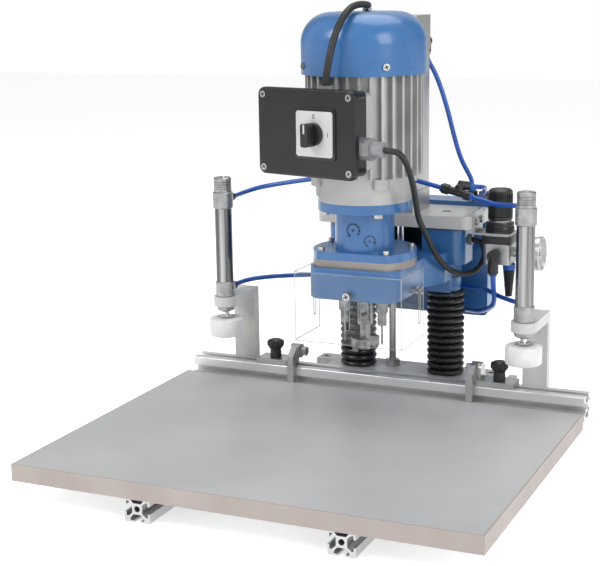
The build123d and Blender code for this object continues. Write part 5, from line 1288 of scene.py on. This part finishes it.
def hexagon_nut(name, across_flats, low, high, bore, finish, place):
    """A nut with its corners chamfered off, standing on its axis."""
    shape = bmesh.new()
    corner_r = across_flats / math.sqrt(3)
    face_r = across_flats / 2 * 0.97
    chamfer = 0.0010
    section = [
        (bore, low), (face_r, low), (corner_r, low + chamfer), (corner_r, high - chamfer),
        (face_r, high), (bore, high),
    ]
    flats = hexagon_radii(48, across_flats)
    rings = [points_round(shape, z, [min(radius, flat) for flat in flats]) for radius, z in section]
    skin(shape, rings, closed=True)
    return settled(name, shape, finish, place, sharp=20.0)


for side, x in (("left", -clamp_x), ("right", clamp_x)):
    upright_place = Matrix.Translation((x, clamp_y, 0))
    clamp_pieces = [
        turned("clamp_lower_cap_" + side, lower_profile, cap_metal, upright_place),
        turned("clamp_tube_" + side, tube_profile, tube_steel, upright_place, steps=72),
        turned("clamp_upper_cap_" + side, upper_profile, cap_metal, upright_place),
        hexagon_nut("clamp_nut_" + side, 0.021, 0.141, 0.147, 0.0066, cap_metal, upright_place),
    ]
    for level, z in (("low", low_port_z), ("high", high_port_z)):
        port_place = Matrix.Translation((x, clamp_y, z)) @ rotated("X", -90)
        for name, profile, finish in (
            ("clamp_port_", port_profile, cap_metal), ("clamp_port_ring_", port_ring_profile, knob_plastic),
        ):
            clamp_pieces.append(turned(name + level + "_" + side, profile, finish, port_place, steps=32))
    for piece in clamp_pieces:
        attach(piece, "frame")
        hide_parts("clamp_cylinder_" + side)

nylon = cloudy_finish(
    "white_nylon", (0.70, 0.70, 0.68), (0.78, 0.78, 0.76), 0.012, (0.36, 0.5), 0.0008, 0.00003,
    stretch=(0.3, 0.3, 1),
)
for side in ("left", "right"):
    pad_low, pad_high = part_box("clamp_pad_" + side)
    pad_r = (pad_high[0] - pad_low[0]) / 2
    pad_height = pad_high[2] - pad_low[2]
    pad_profile = [
        (0.0, 0.0), (pad_r - 0.0022, 0.0), (pad_r - 0.0006, 0.0008), (pad_r, 0.0024),
        (pad_r, pad_height - 0.0034), (pad_r - 0.0010, pad_height - 0.0012), (pad_r - 0.0034, pad_height),
        (0.0105, pad_height), (0.0100, pad_height - 0.0012), (0.0042, pad_height - 0.0012),
        (0.0042, pad_height - 0.0110), (0.0, pad_height - 0.0110),
    ]
    pad = turned(
        "nylon_pad_" + side, pad_profile, nylon, above_middle(pad_low, pad_high, pad_low[2]), steps=72
    )
    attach(pad, "clamp_rod_" + side)
    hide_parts("clamp_pad_" + side)

# ------------------------------------------------------------------ flip stops
# Two stops slide on T-nuts in the fence's top slot.  Each has a satin aluminium body and
# finger, and is locked by a black knob moulded with grip lobes.
satin_aluminium = cloudy_finish(
    "satin_aluminium", (0.48, 0.48, 0.475), (0.58, 0.58, 0.575), 0.02, (0.24, 0.38), 0.0008, 0.00004,
    metal=0.9,
)
coat(["stop_body_left", "stop_body_right", "stop_flap_left", "stop_flap_right"], satin_aluminium)
grip_height = 0.023
lobe_r = 0.0019
for side in ("left", "right"):
    grip_low, grip_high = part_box("stop_knob_" + side)
    grip_r = (grip_high[0] - grip_low[0]) / 2
    grip_place = above_middle(grip_low, grip_high, grip_high[2] - grip_height)
    grip_core = turned(
        "stop_grip_" + side,
        [
            (0.0, -0.0120), (0.0029, -0.0120), (0.0029, 0.0), (0.0068, 0.0), (0.0075, 0.0008),
            (0.0070, 0.0100), (0.0090, 0.0125), (grip_r - 0.0016, 0.0140), (grip_r - 0.0012, 0.0155),
            (grip_r - 0.0012, 0.0205), (grip_r - 0.0028, 0.0224), (0.0062, grip_height), (0.0054, 0.0222),
            (0.0, 0.0222),
        ],
        knob_plastic, grip_place, steps=48,
    )
    grip_lobe = turned(
        "grip_lobe",
        [
            (0.0, 0.0142), (0.0014, 0.0146), (lobe_r, 0.0158), (lobe_r, 0.0200), (0.0014, 0.0214),
            (0.0, 0.0220),
        ],
        knob_plastic, Matrix.Translation((-lobe_r, 0, 0)), steps=16,
    )
    grip_lobes = ring_of("stop_grip_lobes_" + side, grip_lobe, 12, grip_r, knob_plastic, grip_place)
    for piece in (grip_core, grip_lobes):
        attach(piece, "stop_knob_" + side)
        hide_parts("stop_knob_" + side)
